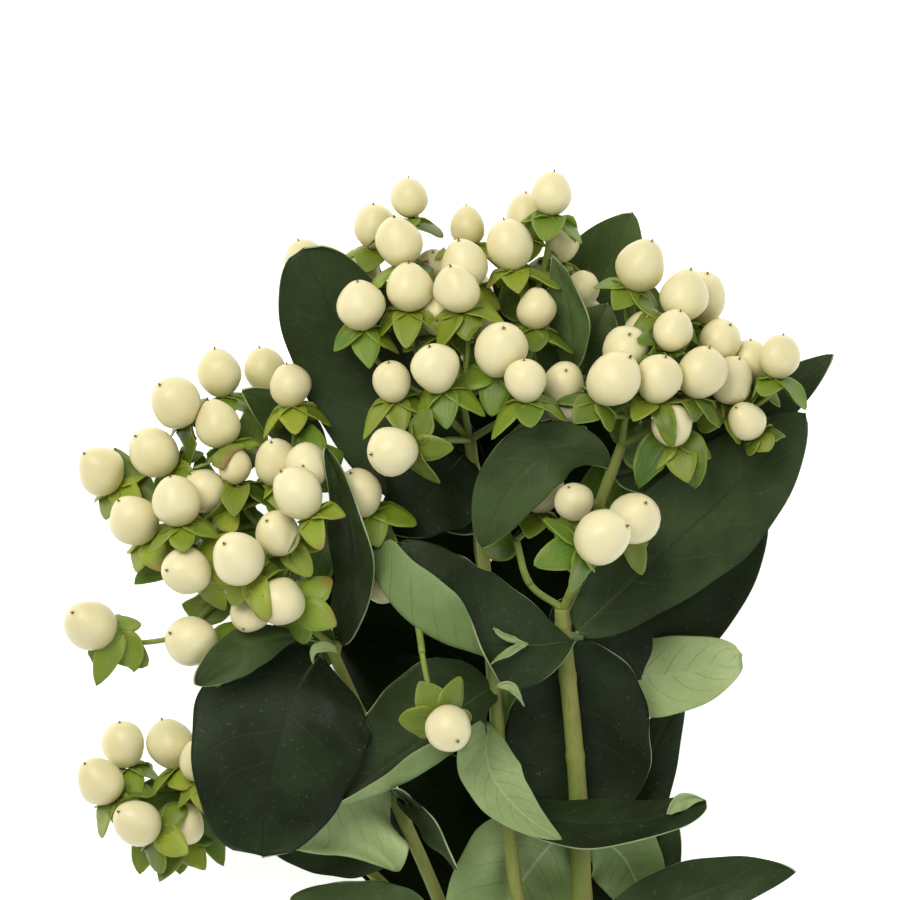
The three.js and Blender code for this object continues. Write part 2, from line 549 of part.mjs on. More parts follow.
// A leaf from its net: an upper and a lower sheet, closed at the foot, the tip and round the edge.
function leafSolid(net) {
  const at = (i, j) => net[i * (COLUMNS + 1) + j];
  const faceAt = (i, j) => {
    const along = at(Math.min(ROWS, i + 1), j).clone().sub(at(Math.max(0, i - 1), j));
    const r = Math.min(ROWS - 1, Math.max(1, i));
    const across = at(r, Math.min(COLUMNS, j + 1)).clone().sub(at(r, Math.max(0, j - 1)));
    return new THREE.Vector3().crossVectors(across, along).normalize();
  };
  const points = [];
  const index = [[], []];
  for (const [layer, sign] of [[0, 1], [1, -1]]) {
    for (let i = 0; i <= ROWS; i++) {
      const pole = i === 0 || i === ROWS;
      for (let j = 0; j <= COLUMNS; j++) {
        if (pole && j > 0) {
          index[layer].push(points.length - 1);
          continue;
        }
        const middle = pole ? COLUMNS / 2 : j;
        const face = faceAt(i, middle);
        const p = at(i, middle).clone().addScaledVector(face, (sign * BLADE) / 2);
        const top = sign * face.z > 0;
        if (at(i, middle).z < 1.1 * TABLE_LEAF) p.z = top ? BLADE : 0;
        p.z = Math.max(p.z, top ? BLADE : 0);
        index[layer].push(points.length);
        points.push(p);
      }
    }
  }
  const faces = [];
  const quad = (a, b, c, d) => faces.push(...[[a, b, c], [a, c, d]].filter((f) => new Set(f).size === 3));
  const name = (layer, i, j) => index[layer][i * (COLUMNS + 1) + j];
  for (let i = 0; i < ROWS; i++) {
    for (let j = 0; j < COLUMNS; j++) {
      quad(name(0, i, j), name(0, i, j + 1), name(0, i + 1, j + 1), name(0, i + 1, j));
      quad(name(1, i, j), name(1, i + 1, j), name(1, i + 1, j + 1), name(1, i, j + 1));
    }
    quad(name(1, i, 0), name(0, i, 0), name(0, i + 1, 0), name(1, i + 1, 0));
    quad(name(1, i + 1, COLUMNS), name(0, i + 1, COLUMNS), name(0, i, COLUMNS), name(1, i, COLUMNS));
  }
  return solid({ points, faces });
}

// Balls over a leaf's sheet, which later leaves lie on.
function sheetBalls(net) {
  return samplesOf(5).map((s) => ({ centre: placeOf(s, net), radius: 1.0, under: true }));
}

// The biggest body of a solid: what a cut leaves loose is dropped.
function biggest(body) {
  const kept = body.decompose().reduce((best, b) => (b.volume() > best.volume() ? b : best));
  return kept.simplify(SMALL);
}

function meshOf(body, name, finish) {
  const mesh = body.getMesh();
  const geometry = new THREE.BufferGeometry();
  geometry.setAttribute("position", new THREE.BufferAttribute(new Float32Array(mesh.vertProperties), 3));
  geometry.setIndex(new THREE.BufferAttribute(new Uint32Array(mesh.triVerts), 1));
  geometry.computeVertexNormals();
  const [color, roughness] = FINISH[finish];
  const material = new THREE.MeshStandardMaterial({ color, roughness, metalness: 0 });
  const made = new THREE.Mesh(geometry, material);
  made.name = name;
  made.position.set(-ORIGIN[0], -ORIGIN[1], 0);
  return made;
}

function buildStem() {
  const shoots = Object.values(SHOOTS);
  const balls = shoots.flatMap(([points, foot, tip]) => {
    return ballsAlong(curveOf(points), (t) => mix(foot, tip, t), 1.5);
  });
  const body = wasm.Manifold.union(shoots.map((s) => shoot(s)));
  const seat = wasm.Manifold.union(shoots.map((s) => shoot(s, SEAT)));
  return { body, seat, balls };
}

const hypericum = new THREE.Group();
const stem = buildStem();
hypericum.add(meshOf(biggest(stem.body), "stem", "stem"));

const taken = [...stem.balls];
Object.entries(SPRAYS).forEach(([name, spray], i) => {
  const made = buildSpray(spray, 1000 * i);
  taken.push(...made.balls);
  hypericum.add(meshOf(biggest(made.body.subtract(stem.seat)), name, "berry"));
});

for (const [name, own] of Object.entries(LEAVES)) {
  const leaf = { ...LEAF, ...own };
  const net = settledNet(leaf, taken);
  taken.push(...sheetBalls(net));
  hypericum.add(meshOf(biggest(leafSolid(net).subtract(stem.seat)), name, leaf.finish));
}

export default hypericum;
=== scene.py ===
"""A cut hypericum stem lying on a pale table: ivory berries on green calyces, dark leaves with pale undersides
and a forked stem. The drawing below is in millimetres, its tips towards +Y; to_frame() gives metres."""
import math

import bpy
import numpy as np
from mathutils import Matrix, Vector


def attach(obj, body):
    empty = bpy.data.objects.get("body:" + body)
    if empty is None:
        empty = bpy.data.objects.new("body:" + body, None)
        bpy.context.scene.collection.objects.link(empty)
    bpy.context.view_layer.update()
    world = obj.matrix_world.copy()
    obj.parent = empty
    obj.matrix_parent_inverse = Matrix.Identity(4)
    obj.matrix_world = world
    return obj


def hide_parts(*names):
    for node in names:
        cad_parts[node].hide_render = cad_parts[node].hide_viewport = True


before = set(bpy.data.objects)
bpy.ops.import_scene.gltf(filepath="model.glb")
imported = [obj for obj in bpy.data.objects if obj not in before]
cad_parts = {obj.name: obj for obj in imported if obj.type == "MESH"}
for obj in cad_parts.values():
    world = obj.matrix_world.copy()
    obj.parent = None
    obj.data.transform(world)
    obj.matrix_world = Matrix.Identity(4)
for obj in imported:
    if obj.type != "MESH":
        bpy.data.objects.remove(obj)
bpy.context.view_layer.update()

MM = 0.001
DRAWING_ORIGIN = np.array([0.0, -18.3, 0.0])  # where the frame's origin lies on the drawing

# The solids' own sizes, which place every piece.
BLADE_SOLID = 0.8  # thickness of a leaf's solid
CLEAR = 0.7  # room that a leaf keeps from what it passes
STALK = 0.75  # radius of a berry's stalk
FORK_STALK = 1.0  # radius of the stalks between forks
SEPAL = 9.5
SEPAL_HALF = 3.0
BERRY_LONG = 1.1  # a berry's half length over its radius
TABLE_LEAF = BLADE_SOLID / 2
ROWS = 7
COLUMNS = 4

# Finer sizes that only the finished pieces have.
BLADE = 0.42  # thickness of a leaf
SEPAL_BLADE = 0.3
BERRY_TALL = 1.25  # from a berry's middle to its tip, over its radius
BLADE_ALONG = 72
BLADE_ACROSS = 36
SEPAL_ALONG = 8
SEPAL_ACROSS = 4

# Each shoot: points, radius at its foot, radius at its tip.
SHOOTS = {
    "main": ([[37.5, -218, 3.0], [36.5, -150, 8], [35, -85, 18], [33, 0, 38], [32.4, 20, 43], [31, 40, 47],
              [28.8, 62, 52], [28, 73, 56]], 3.0, 1.9),
    "middle": ([[34.6, -72, 21], [24, -32, 29], [17, 0, 37], [14, 25, 42], [12, 42, 45], [10, 65, 48],
                [8, 90, 52], [5, 115, 60]], 1.9, 1.5),
    "left": ([[35, -98, 15.5], [16, -48, 20], [-3, 0, 29], [-13, 23, 34], [-22, 45, 40], [-29, 61, 46],
              [-30, 64, 48]], 1.8, 1.4),
    "lower_left": ([[6, -24, 24], [-8, -6, 22], [-24, 10, 22], [-40, 20, 24], [-56, 26, 30]], 1.5, 1.2),
    "inner_left": ([[-29, 60, 45], [-25, 80, 49], [-27, 98, 49], [-32, 110, 50]], 1.2, 0.9),
    "right": ([[28, 71, 55], [35, 88, 61], [37, 98, 63], [43, 114, 66]], 1.5, 1.3),
    "back": ([[34.2, -62, 23], [27, -36, 16], [20, -5, 13], [12, 50, 11], [7, 92, 11], [6, 104, 13]], 1.6, 1.3),
}

# Forks: x, y, z and the fork or root that each grows from. Berries: x, y, z, radius, heading and lift of the
# tip in degrees, and fork.
SPRAYS = {
    "spray_top": {
        "forks": [[5, 115, 60, 0], [-2, 124, 66, 0], [2, 142, 52, 1], [3, 126, 66, 0], [1, 143, 54, 3],
                  [18, 124, 64, 0], [20, 146, 52, 5], [28, 132, 50, 5], [-1, 115, 72, 0]],
        "berries": [
            [-10.3, 175.3, 52, 4.5, 91, 5, 2], [-19, 168, 46, 5.0, 92, 15, 2], [-12.8, 164.3, 63, 5.6, 100, 20, 2],
            [-22, 157, 46, 4.5, 100, 20, 2], [-36, 159.5, 44, 5.0, 110, 10, 2], [4.5, 168.5, 50, 4.3, 95, 5, 4],
            [3.3, 158.5, 62, 5.8, 100, 25, 4], [-4, 158, 50, 4.3, 94, 40, 4], [1.8, 152.4, 74, 5.5, 106, 25, 3],
            [-10.3, 153, 68, 5.6, 90, 20, 1], [-22.3, 148.3, 69, 5.7, 97, 25, 1],
            [-2.5, 145.9, 64, 4.6, 90, 20, 3], [8.5, 144, 56, 4.0, 80, 10, 5], [15, 163.4, 62, 5.7, 103, 10, 6],
            [18.8, 171, 50, 5.0, 88, 15, 6], [25.7, 176.3, 58, 4.9, 86, 8, 6], [28, 164, 46, 4.3, 80, 10, 6],
            [21.5, 147.6, 66, 4.6, 84, 15, 5], [32.8, 152.4, 50, 4.2, 70, 10, 7], [34, 146, 45, 3.8, 60, 5, 7],
            [12.5, 137, 78, 6.4, 82, 42, 3], [-3.3, 132.6, 81, 5.7, 108, 30, 1],
            [-14.4, 129.3, 75, 4.7, 100, 28, 1], [18.8, 129.4, 84, 4.8, 94, 22, 5],
            [28.3, 128.8, 72, 5.2, 80, 55, 5], [28.5, 123, 68, 4.5, 80, 20, 5],
            [-14.1, 112.5, 86, 5.9, 192, 38, 8],
        ],
    },
    "spray_right": {
        "forks": [[43, 114, 66, 0], [44, 121, 69, 0], [51, 131, 56, 1], [59, 121, 62, 0], [69, 122, 51, 3]],
        "berries": [
            [47.7, 158.4, 60, 5.9, 66, 22, 2], [58.5, 150.9, 62, 5.9, 76, 15, 2],
            [63.3, 150.3, 50, 5.6, 80, 25, 2], [48.4, 142, 60, 4.7, 84, 30, 2], [55.4, 142, 70, 4.9, 68, 20, 2],
            [43.9, 137, 70, 5.7, 79, 50, 1], [40.5, 129.9, 83, 6.3, 53, 25, 1], [51.8, 129.9, 78, 5.4, 72, 25, 1],
            [62.5, 131.6, 72, 5.8, 71, 20, 3], [70, 129.9, 62, 5.3, 67, 28, 4], [67.1, 139.4, 58, 5.0, 56, 33, 4],
            [75, 134.4, 54, 4.7, 88, 15, 4], [82.2, 135.5, 61, 4.9, 80, 12, 4], [55.6, 118.6, 74, 5.0, 100, 42, 3],
            [74.3, 119.6, 65, 4.6, 130, 35, 4],
        ],
    },
    "spray_low_right": {
        "forks": [[28, 73, 56, 0], [33, 81, 68, 0], [20, 79, 60, 0], [16.5, 90, 62, 2]],
        "berries": [[37.7, 90.8, 92, 6.4, 24, 30, 1], [45.7, 95.4, 82, 6.1, 53, 48, 1],
                    [31, 99.3, 76, 4.5, 110, 40, 1], [22.5, 102.5, 64, 5.4, 80, 20, 3]],
    },
    "spray_middle": {
        "forks": [[9.4, 74, 49, 0], [-4, 84, 58, 0], [-8, 76, 64, 1], [-7, 62, 72, 2]],
        "berries": [[-0.4, 43.4, 82, 5.8, 305, 55, 3], [-16, 79.5, 56, 4.8, 225, 20, 1]],
    },
    "spray_left": {
        "forks": [[-30, 64, 48, 0], [-42, 74, 55, 0], [-55, 76, 54, 1], [-46, 92, 55, 1], [-62, 90, 48, 3],
                  [-54, 108, 44, 3], [-67, 66, 50, 2]],
        "berries": [
            [-57.8, 131.5, 44, 5.4, 100, 12, 5], [-46.5, 132.3, 39, 5.1, 102, 8, 5],
            [-40, 128.3, 58, 4.8, 98, 12, 3], [-68.5, 124.3, 56, 6.0, 132, 34, 5], [-58, 119, 57, 5.3, 112, 10, 5],
            [-73.8, 111.8, 52, 5.8, 139, 30, 4], [-87.3, 107.4, 46, 5.6, 135, 30, 4],
            [-53.8, 108.3, 60, 4.2, 96, 15, 3], [-43.5, 109.3, 62, 5.5, 102, 38, 3],
            [-35.5, 108.5, 70, 5.3, 180, 80, 3], [-38, 101.4, 80, 6.0, 125, 15, 3],
            [-42.9, 91.6, 72, 5.5, 130, 50, 1], [-68.3, 99.5, 68, 5.7, 103, 18, 4],
            [-60.8, 102.1, 58, 5.2, 133, 20, 4], [-78.8, 94.8, 58, 5.9, 128, 30, 4],
            [-65.8, 82.5, 70, 5.8, 180, 47, 2], [-53.1, 85.3, 80, 6.3, 128, 50, 2], [-41.9, 75, 75, 5.8, 165, 52, 1],
            [-50, 72, 65, 4.6, 250, 40, 1], [-90, 68.8, 46, 6.1, 146, 45, 6], [-64.3, 64.3, 62, 6.1, 156, 35, 6],
        ],
    },
    "spray_inner_left": {
        "forks": [[-25.5, 84, 50, 0], [-22, 90, 55, 0]],
        "berries": [[-22.3, 101.5, 64, 5.4, 115, 32, 1]],
    },
    "spray_lower_left": {
        "forks": [[-56, 26, 30, 0], [-65, 28, 28, 0], [-72, 20, 30, 0]],
        "berries": [
            [-81.8, 38.3, 34, 5.3, 100, 20, 1], [-69.9, 38.5, 36, 5.7, 110, 8, 1], [-63, 34.5, 45, 4.8, 102, 20, 1],
            [-87.5, 29.5, 40, 5.5, 132, 30, 2], [-78.3, 19.5, 44, 5.6, 152, 40, 2], [-67, 18.5, 37, 5.0, 80, 50, 2],
        ],
    },
    "spray_back": {
        "forks": [[6, 104, 13, 0], [-4, 118, 14, 0], [4, 132, 17, 1], [20, 120, 15, 0], [34, 126, 18, 3]],
        "berries": [
            [-6, 149, 27, 5.0, 100, 5, 2], [6, 152, 25, 4.8, 80, 0, 2], [20, 142, 23, 5.0, 70, 5, 3],
            [53, 138, 27, 4.8, 40, 10, 4], [-20, 136, 22, 5.2, 125, 10, 1], [8, 137, 10, 5.0, 90, -20, 2],
            [-12, 127, 12, 5.2, 120, -5, 1], [32, 137, 13, 5.0, 75, -10, 4],
        ],
    },
}

# Leaves in the order that they lie on each other: the midrib from foot to tip, the width, and what differs
# from LEAF.
LEAVES = {
    "leaf_back_top": ([[7.2, 90.5, 11.2], [6, 106, -8], [13, 158, 0]], 24,
                      dict(roll=(180, 180), curl=(-0.1, -0.1), foot=0.9, belly=0.6)),
    "leaf_back_left": ([[9.4, 55, 9], [-10, 68, 2], [-38, 92, -3]], 30, dict(roll=(180, 180), curl=(-0.3, -0.3))),
    "leaf_back_right": ([[13.6, 48, 9], [35, 62, 2], [62, 88, -3]], 30, dict(roll=(180, 180), curl=(-0.3, -0.3))),
    "leaf_back_top_left": ([[5.6, 94, 9], [-8, 112, 2], [-27, 146, -3]], 28,
                           dict(roll=(180, 180), curl=(-0.3, -0.2))),
    "leaf_back_top_right": ([[8.6, 93, 9], [28, 110, 2], [46, 146, -3]], 28,
                            dict(roll=(180, 180), curl=(-0.2, -0.3))),
    "leaf_back_low_left": ([[18.2, -4, 11], [-2, 8, 3], [-34, 22, -3]], 28,
                           dict(roll=(180, 180), curl=(-0.3, -0.3))),
    "leaf_back_low_right": ([[22, -6, 11], [32, 8, 3], [52, 26, -3]], 24,
                            dict(roll=(180, 180), curl=(-0.3, -0.3))),
    "leaf_back_middle": ([[8, 71, 9], [-2, 80, 2], [-16, 101, -3]], 24, dict(roll=(180, 180), curl=(-0.2, -0.2))),
    "leaf_back_inner": ([[11.6, 65, 9], [23, 75, 2], [33, 104, -3]], 26,
                        dict(roll=(180, 180), curl=(-0.2, -0.2))),
    "leaf_back_lower": ([[13.4, 30, 9.6], [0, 42, 3], [-28, 64, -2]], 26,
                        dict(roll=(180, 180), curl=(-0.2, -0.2))),
    "leaf_back_foot": ([[16.6, 8, 10.3], [4, 16, 3], [-14, 42, -2]], 24,
                       dict(roll=(180, 180), curl=(-0.2, -0.2))),
    "leaf_low_dark": ([[34.2, -14, 34], [46, -4, 27], [54, 15, 27]], 19, dict(curl=(-0.2, -0.2))),
    "leaf_side": ([[34.2, 0, 34], [47, 6, 28], [49, 27, 27], [57, 46, 27]], 20,
                  dict(curl=(-0.2, -0.2), belly=0.42)),
    "leaf_low_left_dark": ([[-10.2, 17, 31.6], [-28, 12, 32], [-47, 15, 32]], 18, dict(wave=0.05)),
    "leaf_low_pale_right": ([[35, 15, 38.5], [44, 12, 34], [46, -8, 32]], 16, dict(roll=(180, 180), wave=0.05)),
    "leaf_low_pale": ([[29.6, 18, 39], [16, 6, 36], [0, -28, 34]], 33, dict(roll=(180, 180), wave=0.05)),
    "leaf_low_green": ([[-2, -12, 28], [-20, -7, 34], [-40, -1, 36]], 22, dict(wave=0.05)),
    "leaf_right_under": ([[30.6, 77, 55.6], [38, 58, 26], [68, 78, 36], [80, 97, 46]], 37,
                         dict(curl=(-0.2, -0.2))),
    "leaf_right_pale": ([[29.8, 69, 53.5], [36, 50, 34], [55, 50, 42], [73.5, 59, 46]], 22,
                        dict(roll=(180, 180), wave=0.04)),
    "leaf_under_stem": ([[28, 63.5, 50], [33, 54, 43], [33, 38, 42], [31, 17, 38]], 37,
                        dict(foot=0.6, tip=0.45, belly=0.6)),
    "leaf_top_back": ([[15.5, 122, 61.6], [24, 128, 30], [35.5, 150, 28], [45.5, 172, 38]], 26,
                      dict(belly=0.55)),
    "leaf_right_back": ([[41, 106, 60], [66, 112, 40], [96, 136.5, 42]], 19, {}),
    "leaf_low_left_pale": ([[-16.6, 31, 36.4], [-24, 28, 48], [-38.5, 12.5, 44]], 24,
                           dict(roll=(180, 180), wave=0.06)),
    "leaf_top_left": ([[7, 92, 51], [-12, 116, 47], [-28, 141, 54], [-36.5, 163, 57]], 33,
                      dict(tip=0.42, belly=0.5)),
    "leaf_centre_left": ([[4, 112, 58], [-4, 103, 55], [-15, 92, 52]], 25, {}),
    "leaf_left_small": ([[-32.2, 109.6, 49.4], [-40, 121, 46], [-52, 127.5, 52]], 8.5, dict(curl=(0.3, 0.3))),
    "leaf_top_small": ([[33, 131, 52], [35, 140, 59], [39.5, 149, 58]], 15, dict(curl=(0.3, 0.3))),
    "leaf_top_narrow": ([[30, 133, 59], [32, 146, 64], [25.5, 161, 62]], 11,
                        dict(roll=(-30, -30), curl=(0.3, 0.3), tip=0.9)),
    "leaf_right_big": ([[31.5, 67, 58], [50, 84, 64], [70, 101, 57], [89, 121.5, 48]], 29,
                       dict(curl=(-0.15, -0.2), foot=0.4, tip=0.7, belly=0.56)),
    "leaf_centre": ([[40.2, 108, 65], [29, 121, 78], [13, 108, 79], [8, 88, 70]], 18, dict(belly=0.6)),
    "leaf_middle": ([[30.8, 65, 56.5], [16, 62, 67], [-10, 62, 71], [-19, 87, 66]], 38,
                    dict(curl=(0.1, 0.3), foot=0.6, tip=0.3, belly=0.62, fold=(-1, 0.2, 0.02, 2.6))),
    "leaf_left_fold": ([[-28.2, 65, 47.4], [-12, 84, 71], [-31, 113, 74]], 20,
                       dict(roll=(-50, -50), curl=(0.3, 0.3))),
    "leaf_low_middle": ([[10.8, 53, 47], [0, 47, 59], [-12, 37, 60], [-29, 24, 56]], 27,
                        dict(curl=(0.2, 0.2), fold=(-1, 0.25, 0.5, 2.3))),
    "leaf_low_narrow": ([[-14.6, 26.5, 35], [-5, 21, 47], [1.6, 7.5, 50]], 12, dict(roll=(65, 65), tip=0.95)),
    "leaf_front": ([[14.3, 24, 42.5], [26, 17, 60], [48, 17, 62], [64, 24.5, 57]], 17,
                   dict(roll=(-45, -45), tip=0.45)),
    "leaf_low_centre": ([[12.6, 36, 44.8], [9, 31.5, 60], [16, 24, 63], [26, 18, 61]], 19,
                        dict(roll=(150, 180), curl=(0.2, 0.5))),
    "leaf_low_right": ([[34.6, -12, 38], [50, -4.5, 46], [68, 4.5, 48], [86.5, 6.7, 44]], 17, dict(wave=0.04)),
    "leaf_left_big": ([[-32.4, 61, 51], [-38, 56, 62], [-47, 36, 62], [-47, 11, 56]], 44,
                      dict(curl=(-0.15, -0.15), foot=0.45, tip=0.36, belly=0.5)),
    "leaf_left_bract": ([[-33.6, 66, 53], [-44, 66, 66], [-56, 60, 67], [-64, 56, 62]], 10, dict(finish="bract")),
}
# How pale each leaf's green is, from 0, near black, to 1; the others are 0.3. Partly each leaf's own green and partly
# painted shade: leaf_centre_left has 0 as it lies in shadow.
TONES = {"leaf_left_big": 0.0, "leaf_under_stem": 0.0, "leaf_centre_left": 0.0, "leaf_front": 0.05,
         "leaf_middle": 0.15, "leaf_top_left": 0.25, "leaf_right_big": 0.35, "leaf_low_right": 0.35,
         "leaf_low_left_pale": 0.9, "leaf_centre": 0.6, "leaf_top_back": 0.9, "leaf_right_pale": 1.0,
         "leaf_top_narrow": 1.0, "leaf_top_small": 1.0, "leaf_left_small": 0.6, "leaf_low_pale": 0.35,
         "leaf_low_green": 0.9, "leaf_low_middle": 0.3, "leaf_right_under": 0.1, "leaf_side": 0.1, "leaf_low_centre": 0.6,
         "leaf_left_bract": 0.8}
# What the finished blade has that its solid has not: where it folds, how it is drawn in at one place of its
# edge (side, where along, how far it reaches, how deep) and small corrections of its outline.
FINER = {
    "leaf_middle": dict(fold=(-1, 0.3, 0.02, 2.6), dent=(-1, 0.42, 0.13, 0.5), tip=0.24,
                        rib=[[30.8, 65, 56.5], [16, 62, 67], [-10, 62, 71], [-19.5, 87.5, 61]]),
    "leaf_low_middle": dict(fold=(-1, 0.25, 0.4, 2.5), wide=31, dent=(-1, 0.1, 0.13, 0.6)),
    "leaf_low_left_pale": dict(dent=(1, 0.5, 0.36, -0.8), wide=25),
    "leaf_low_centre": dict(roll=(175, 185), curl=(0.1, 0.2), wide=15, tip=0.8,
                            rib=[[10, 44, 45.4], [6, 36, 68], [11, 24.5, 66], [28, 15, 60]]),
    "leaf_left_fold": dict(rib=[[-28.2, 65, 47.4], [-18, 84, 69], [-31, 113, 74]], wide=16.5),
    "leaf_right_pale": dict(rib=[[29.8, 66.5, 49], [36, 52, 22], [55, 54, 42], [73, 61, 46]], wide=20, tip=0.42,
                            belly=0.58),
    "leaf_under_stem": dict(foot=0.3),
    "leaf_right_under": dict(rib=[[30.6, 77, 55.6], [37.5, 57, 26], [67, 76, 36], [78.5, 97, 46]], wide=29),
    "leaf_side": dict(rib=[[34.2, 0, 34], [46, 8, 28], [44.5, 30, 27], [58.5, 50, 27]], wide=16.5, belly=0.5, tip=0.6),
    "leaf_low_dark": dict(rib=[[34.2, -14, 34], [46, -4, 27], [56.8, 19.5, 27]], wide=20),
    "leaf_low_pale_right": dict(rib=[[35, 15, 38.5], [47, 14, 34], [49, -8, 32]], wide=19),
    "leaf_low_right": dict(rib=[[34.6, -12, 38], [50, -2.5, 46], [68, 6.5, 48], [86.5, 6.7, 44]]),
    "leaf_low_green": dict(rib=[[-2, -12, 28], [-20, -7, 34], [-40, 0, 36]], wide=23),
    "leaf_left_small": dict(wide=12),
    "leaf_top_back": dict(wide=29),
    "leaf_left_bract": dict(rib=[[-33.6, 65, 53], [-44, 68, 67], [-54, 62, 70], [-63.5, 54, 65]], wide=11.5,
                            foot=1.3, belly=0.6, tip=0.6),
}
# Pale margins that have curled up: the leaf, the line that each follows on the drawing and its width.
CURLS = [
    ("leaf_middle", [[10.8, 68], [14.5, 64.8], [19.4, 64.2]], 1.8),
    ("leaf_middle", [[19.4, 64.2], [15.5, 63], [10.2, 59.2]], 2.0),
    ("leaf_low_middle", [[11.6, 53.2, 70], [15.5, 55.8, 71], [18.4, 48.5, 67]], 2.4),
    ("leaf_left_fold", [[-28, 62, 64], [-31, 64.5, 66], [-35.2, 64, 67], [-34.2, 59.2, 66]], 2.8),
    ("leaf_front", [[54.5, 21.5], [58.5, 26.5], [63.2, 25]], 4.2),
]
# Small bracts at the forks: the spray or leaf that each belongs to, its midrib, its width and its tone.
BRACTS = [
    ("spray_left", [[-54, 108, 44], [-50, 113, 42], [-48, 125, 44]], 10, 0.3),
    ("spray_left", [[-46, 92, 54], [-52, 95, 50], [-61, 92, 50]], 10, 0.5),
    ("spray_left", [[-42, 74, 54], [-34, 82, 49], [-28, 99, 46]], 12, 0.2),
    ("spray_left", [[-29, 60, 46], [-38, 64, 44], [-43, 78, 45]], 13, 0.1),
    ("spray_left", [[-55, 76, 53], [-60, 71, 50], [-67, 74, 50]], 9, 0.6),
    ("spray_left", [[-62, 90, 47], [-70, 86, 46], [-79, 79, 48]], 9, 0.5),
    ("spray_left", [[-82, 67, 46], [-86, 62, 46], [-88.5, 53.5, 44]], 7, 0.7),
    ("spray_left", [[-82, 67, 46], [-79.5, 63, 45], [-79, 57, 44]], 7, 0.8),
    ("spray_left", [[-75, 97, 46], [-79, 102, 43], [-84, 113, 42]], 10, 0.4),
    ("spray_left", [[-62, 92, 47], [-60, 100, 44], [-63, 112, 43]], 9, 0.3),
    ("spray_lower_left", [[-65, 28, 28], [-62, 20, 26], [-57, 8, 26]], 9, 0.5),
    ("spray_lower_left", [[-72, 20, 30], [-67, 13, 28], [-68, 6, 27]], 8, 0.8),
    ("spray_lower_left", [[-72, 20, 30], [-77, 14, 28], [-78, 6, 26]], 8, 0.9),
    ("spray_lower_left", [[-65, 28, 28], [-75, 26, 26], [-83, 22, 26]], 9, 0.4),
    ("spray_lower_left", [[-56, 26, 30], [-60, 33, 28], [-71, 31, 26]], 10, 0.3),
    ("spray_top", [[20, 146, 51], [16, 149, 46], [18, 161, 44]], 11, 0.3),
    ("spray_right", [[43, 114, 65], [50, 111, 58], [56, 121, 55]], 13, 0.1),
    ("spray_right", [[43, 113, 62], [44.5, 118, 56], [49, 128, 50]], 10, 0.2),
    ("spray_right", [[51, 131, 55], [52, 140, 48], [49, 155, 46]], 12, 0.4),
    ("spray_right", [[54.5, 116, 69], [50, 113, 74], [47, 103, 70]], 8.5, 0.2),
    ("spray_right", [[55, 116, 69], [60.5, 113, 75], [61, 103, 70]], 10.5, 0.15),
    ("spray_low_right", [[36, 91, 61], [44, 94, 54], [46, 109, 50]], 14, 0.0),
    ("spray_low_right", [[36, 91, 60], [34.5, 100, 54], [39, 111, 50]], 9, 0.0),
    ("spray_low_right", [[16.5, 90, 61], [12, 87, 56], [8, 96, 52]], 10, 0.0),
    ("spray_middle", [[11, 60, 47], [17, 56, 44], [15, 40, 42]], 8, 0.0),
]
# Berries whose sepals stay short: the spray, the berry's row and the share of the full length.
SHORT_SEPALS = {("spray_right", 14): 0.6}
LEAF = dict(roll=(0, 0), curl=(0.15, 0.15), wave=0.03, foot=0.55, tip=0.7, belly=0.42, fold=None, finish="leaf")


# ---------------------------------------------------------------- sums on points

def mix(a, b, t):
    return a + (b - a) * t


def ease(x, low, high):
    t = np.clip((x - low) / (high - low), 0, 1)
    return t * t * (3 - 2 * t)


def chance(k):
    """A repeatable number from 0 to 1 for each whole number k."""
    s = math.sin((k + 1) * 12.9898) * 43758.5453
    return s - math.floor(s)


def unit(v):
    return v / np.maximum(1e-12, np.linalg.norm(v, axis=-1, keepdims=True))


def cross_axes(axis):
    """Two unit vectors square to an axis and to each other."""
    helper = np.array([0.0, 0, 1]) if abs(axis[2]) < 0.9 else np.array([0.0, 1, 0])
    u = unit(np.cross(helper, axis))
    return u, np.cross(axis, u)


def bezier(points, t):
    row = [np.asarray(p, float) for p in points]
    t = np.asarray(t, float)[..., None]
    while len(row) > 1:
        row = [mix(a, b, t) for a, b in zip(row, row[1:])]
    return row[0]


def smooth_line(points, t):
    """A smooth line through the points, at t from 0 to 1."""
    p = np.asarray(points, float)
    last = len(p) - 1
    at = np.clip(np.asarray(t, float) * last, 0, last)
    k = np.minimum(at.astype(int), last - 1)
    w = (at - k)[..., None]
    padded = np.vstack([2 * p[0] - p[1], p, 2 * p[-1] - p[-2]])
    a, b, c, d = (padded[k + n] for n in range(4))
    m0 = (c - a) / 2
    m1 = (d - b) / 2
    return b + m0 * w + (3 * (c - b) - 2 * m0 - m1) * w**2 + (2 * (b - c) + m0 + m1) * w**3


def to_frame(points):
    return (points - DRAWING_ORIGIN) * MM


# ---------------------------------------------------------------- where berries and stalks are

def berry_place(row):
    x, y, z, radius, heading, lift, fork = row
    h, l = math.radians(heading), math.radians(lift)
    axis = np.array([math.cos(l) * math.cos(h), math.cos(l) * math.sin(h), math.sin(l)])
    centre = np.array([x, y, z], float)
    return dict(centre=centre, axis=axis, radius=radius, calyx=centre - axis * BERRY_LONG * radius, fork=fork)


def stalk_line(fork, berry):
    end = berry["calyx"] - berry["axis"]
    bend = end - berry["axis"] * 0.4 * np.linalg.norm(end - fork)
    return [fork, bend, end]


def sepal_shape(seed, lobe):
    """Length, how far it bends back, and turn round the berry's axis of one sepal."""
    long = SEPAL * mix(0.82, 1.15, chance(seed + lobe))
    back = mix(0.15, 0.85, chance(seed + lobe + 5))
    turn = 2 * math.pi * (lobe + 0.35 * chance(seed + 11)) / 5
    return long, back, turn


def push_clear(points, berries, room=0.6):
    """Points moved out of the berries that they would lie in."""
    for berry in berries:
        away = points - berry["centre"]
        far = np.linalg.norm(away, axis=-1, keepdims=True)
        gap = berry["radius"] * BERRY_LONG + room - far
        points = points + np.where(gap > 0, gap, 0) * away / np.maximum(far, 1e-9)
    return points


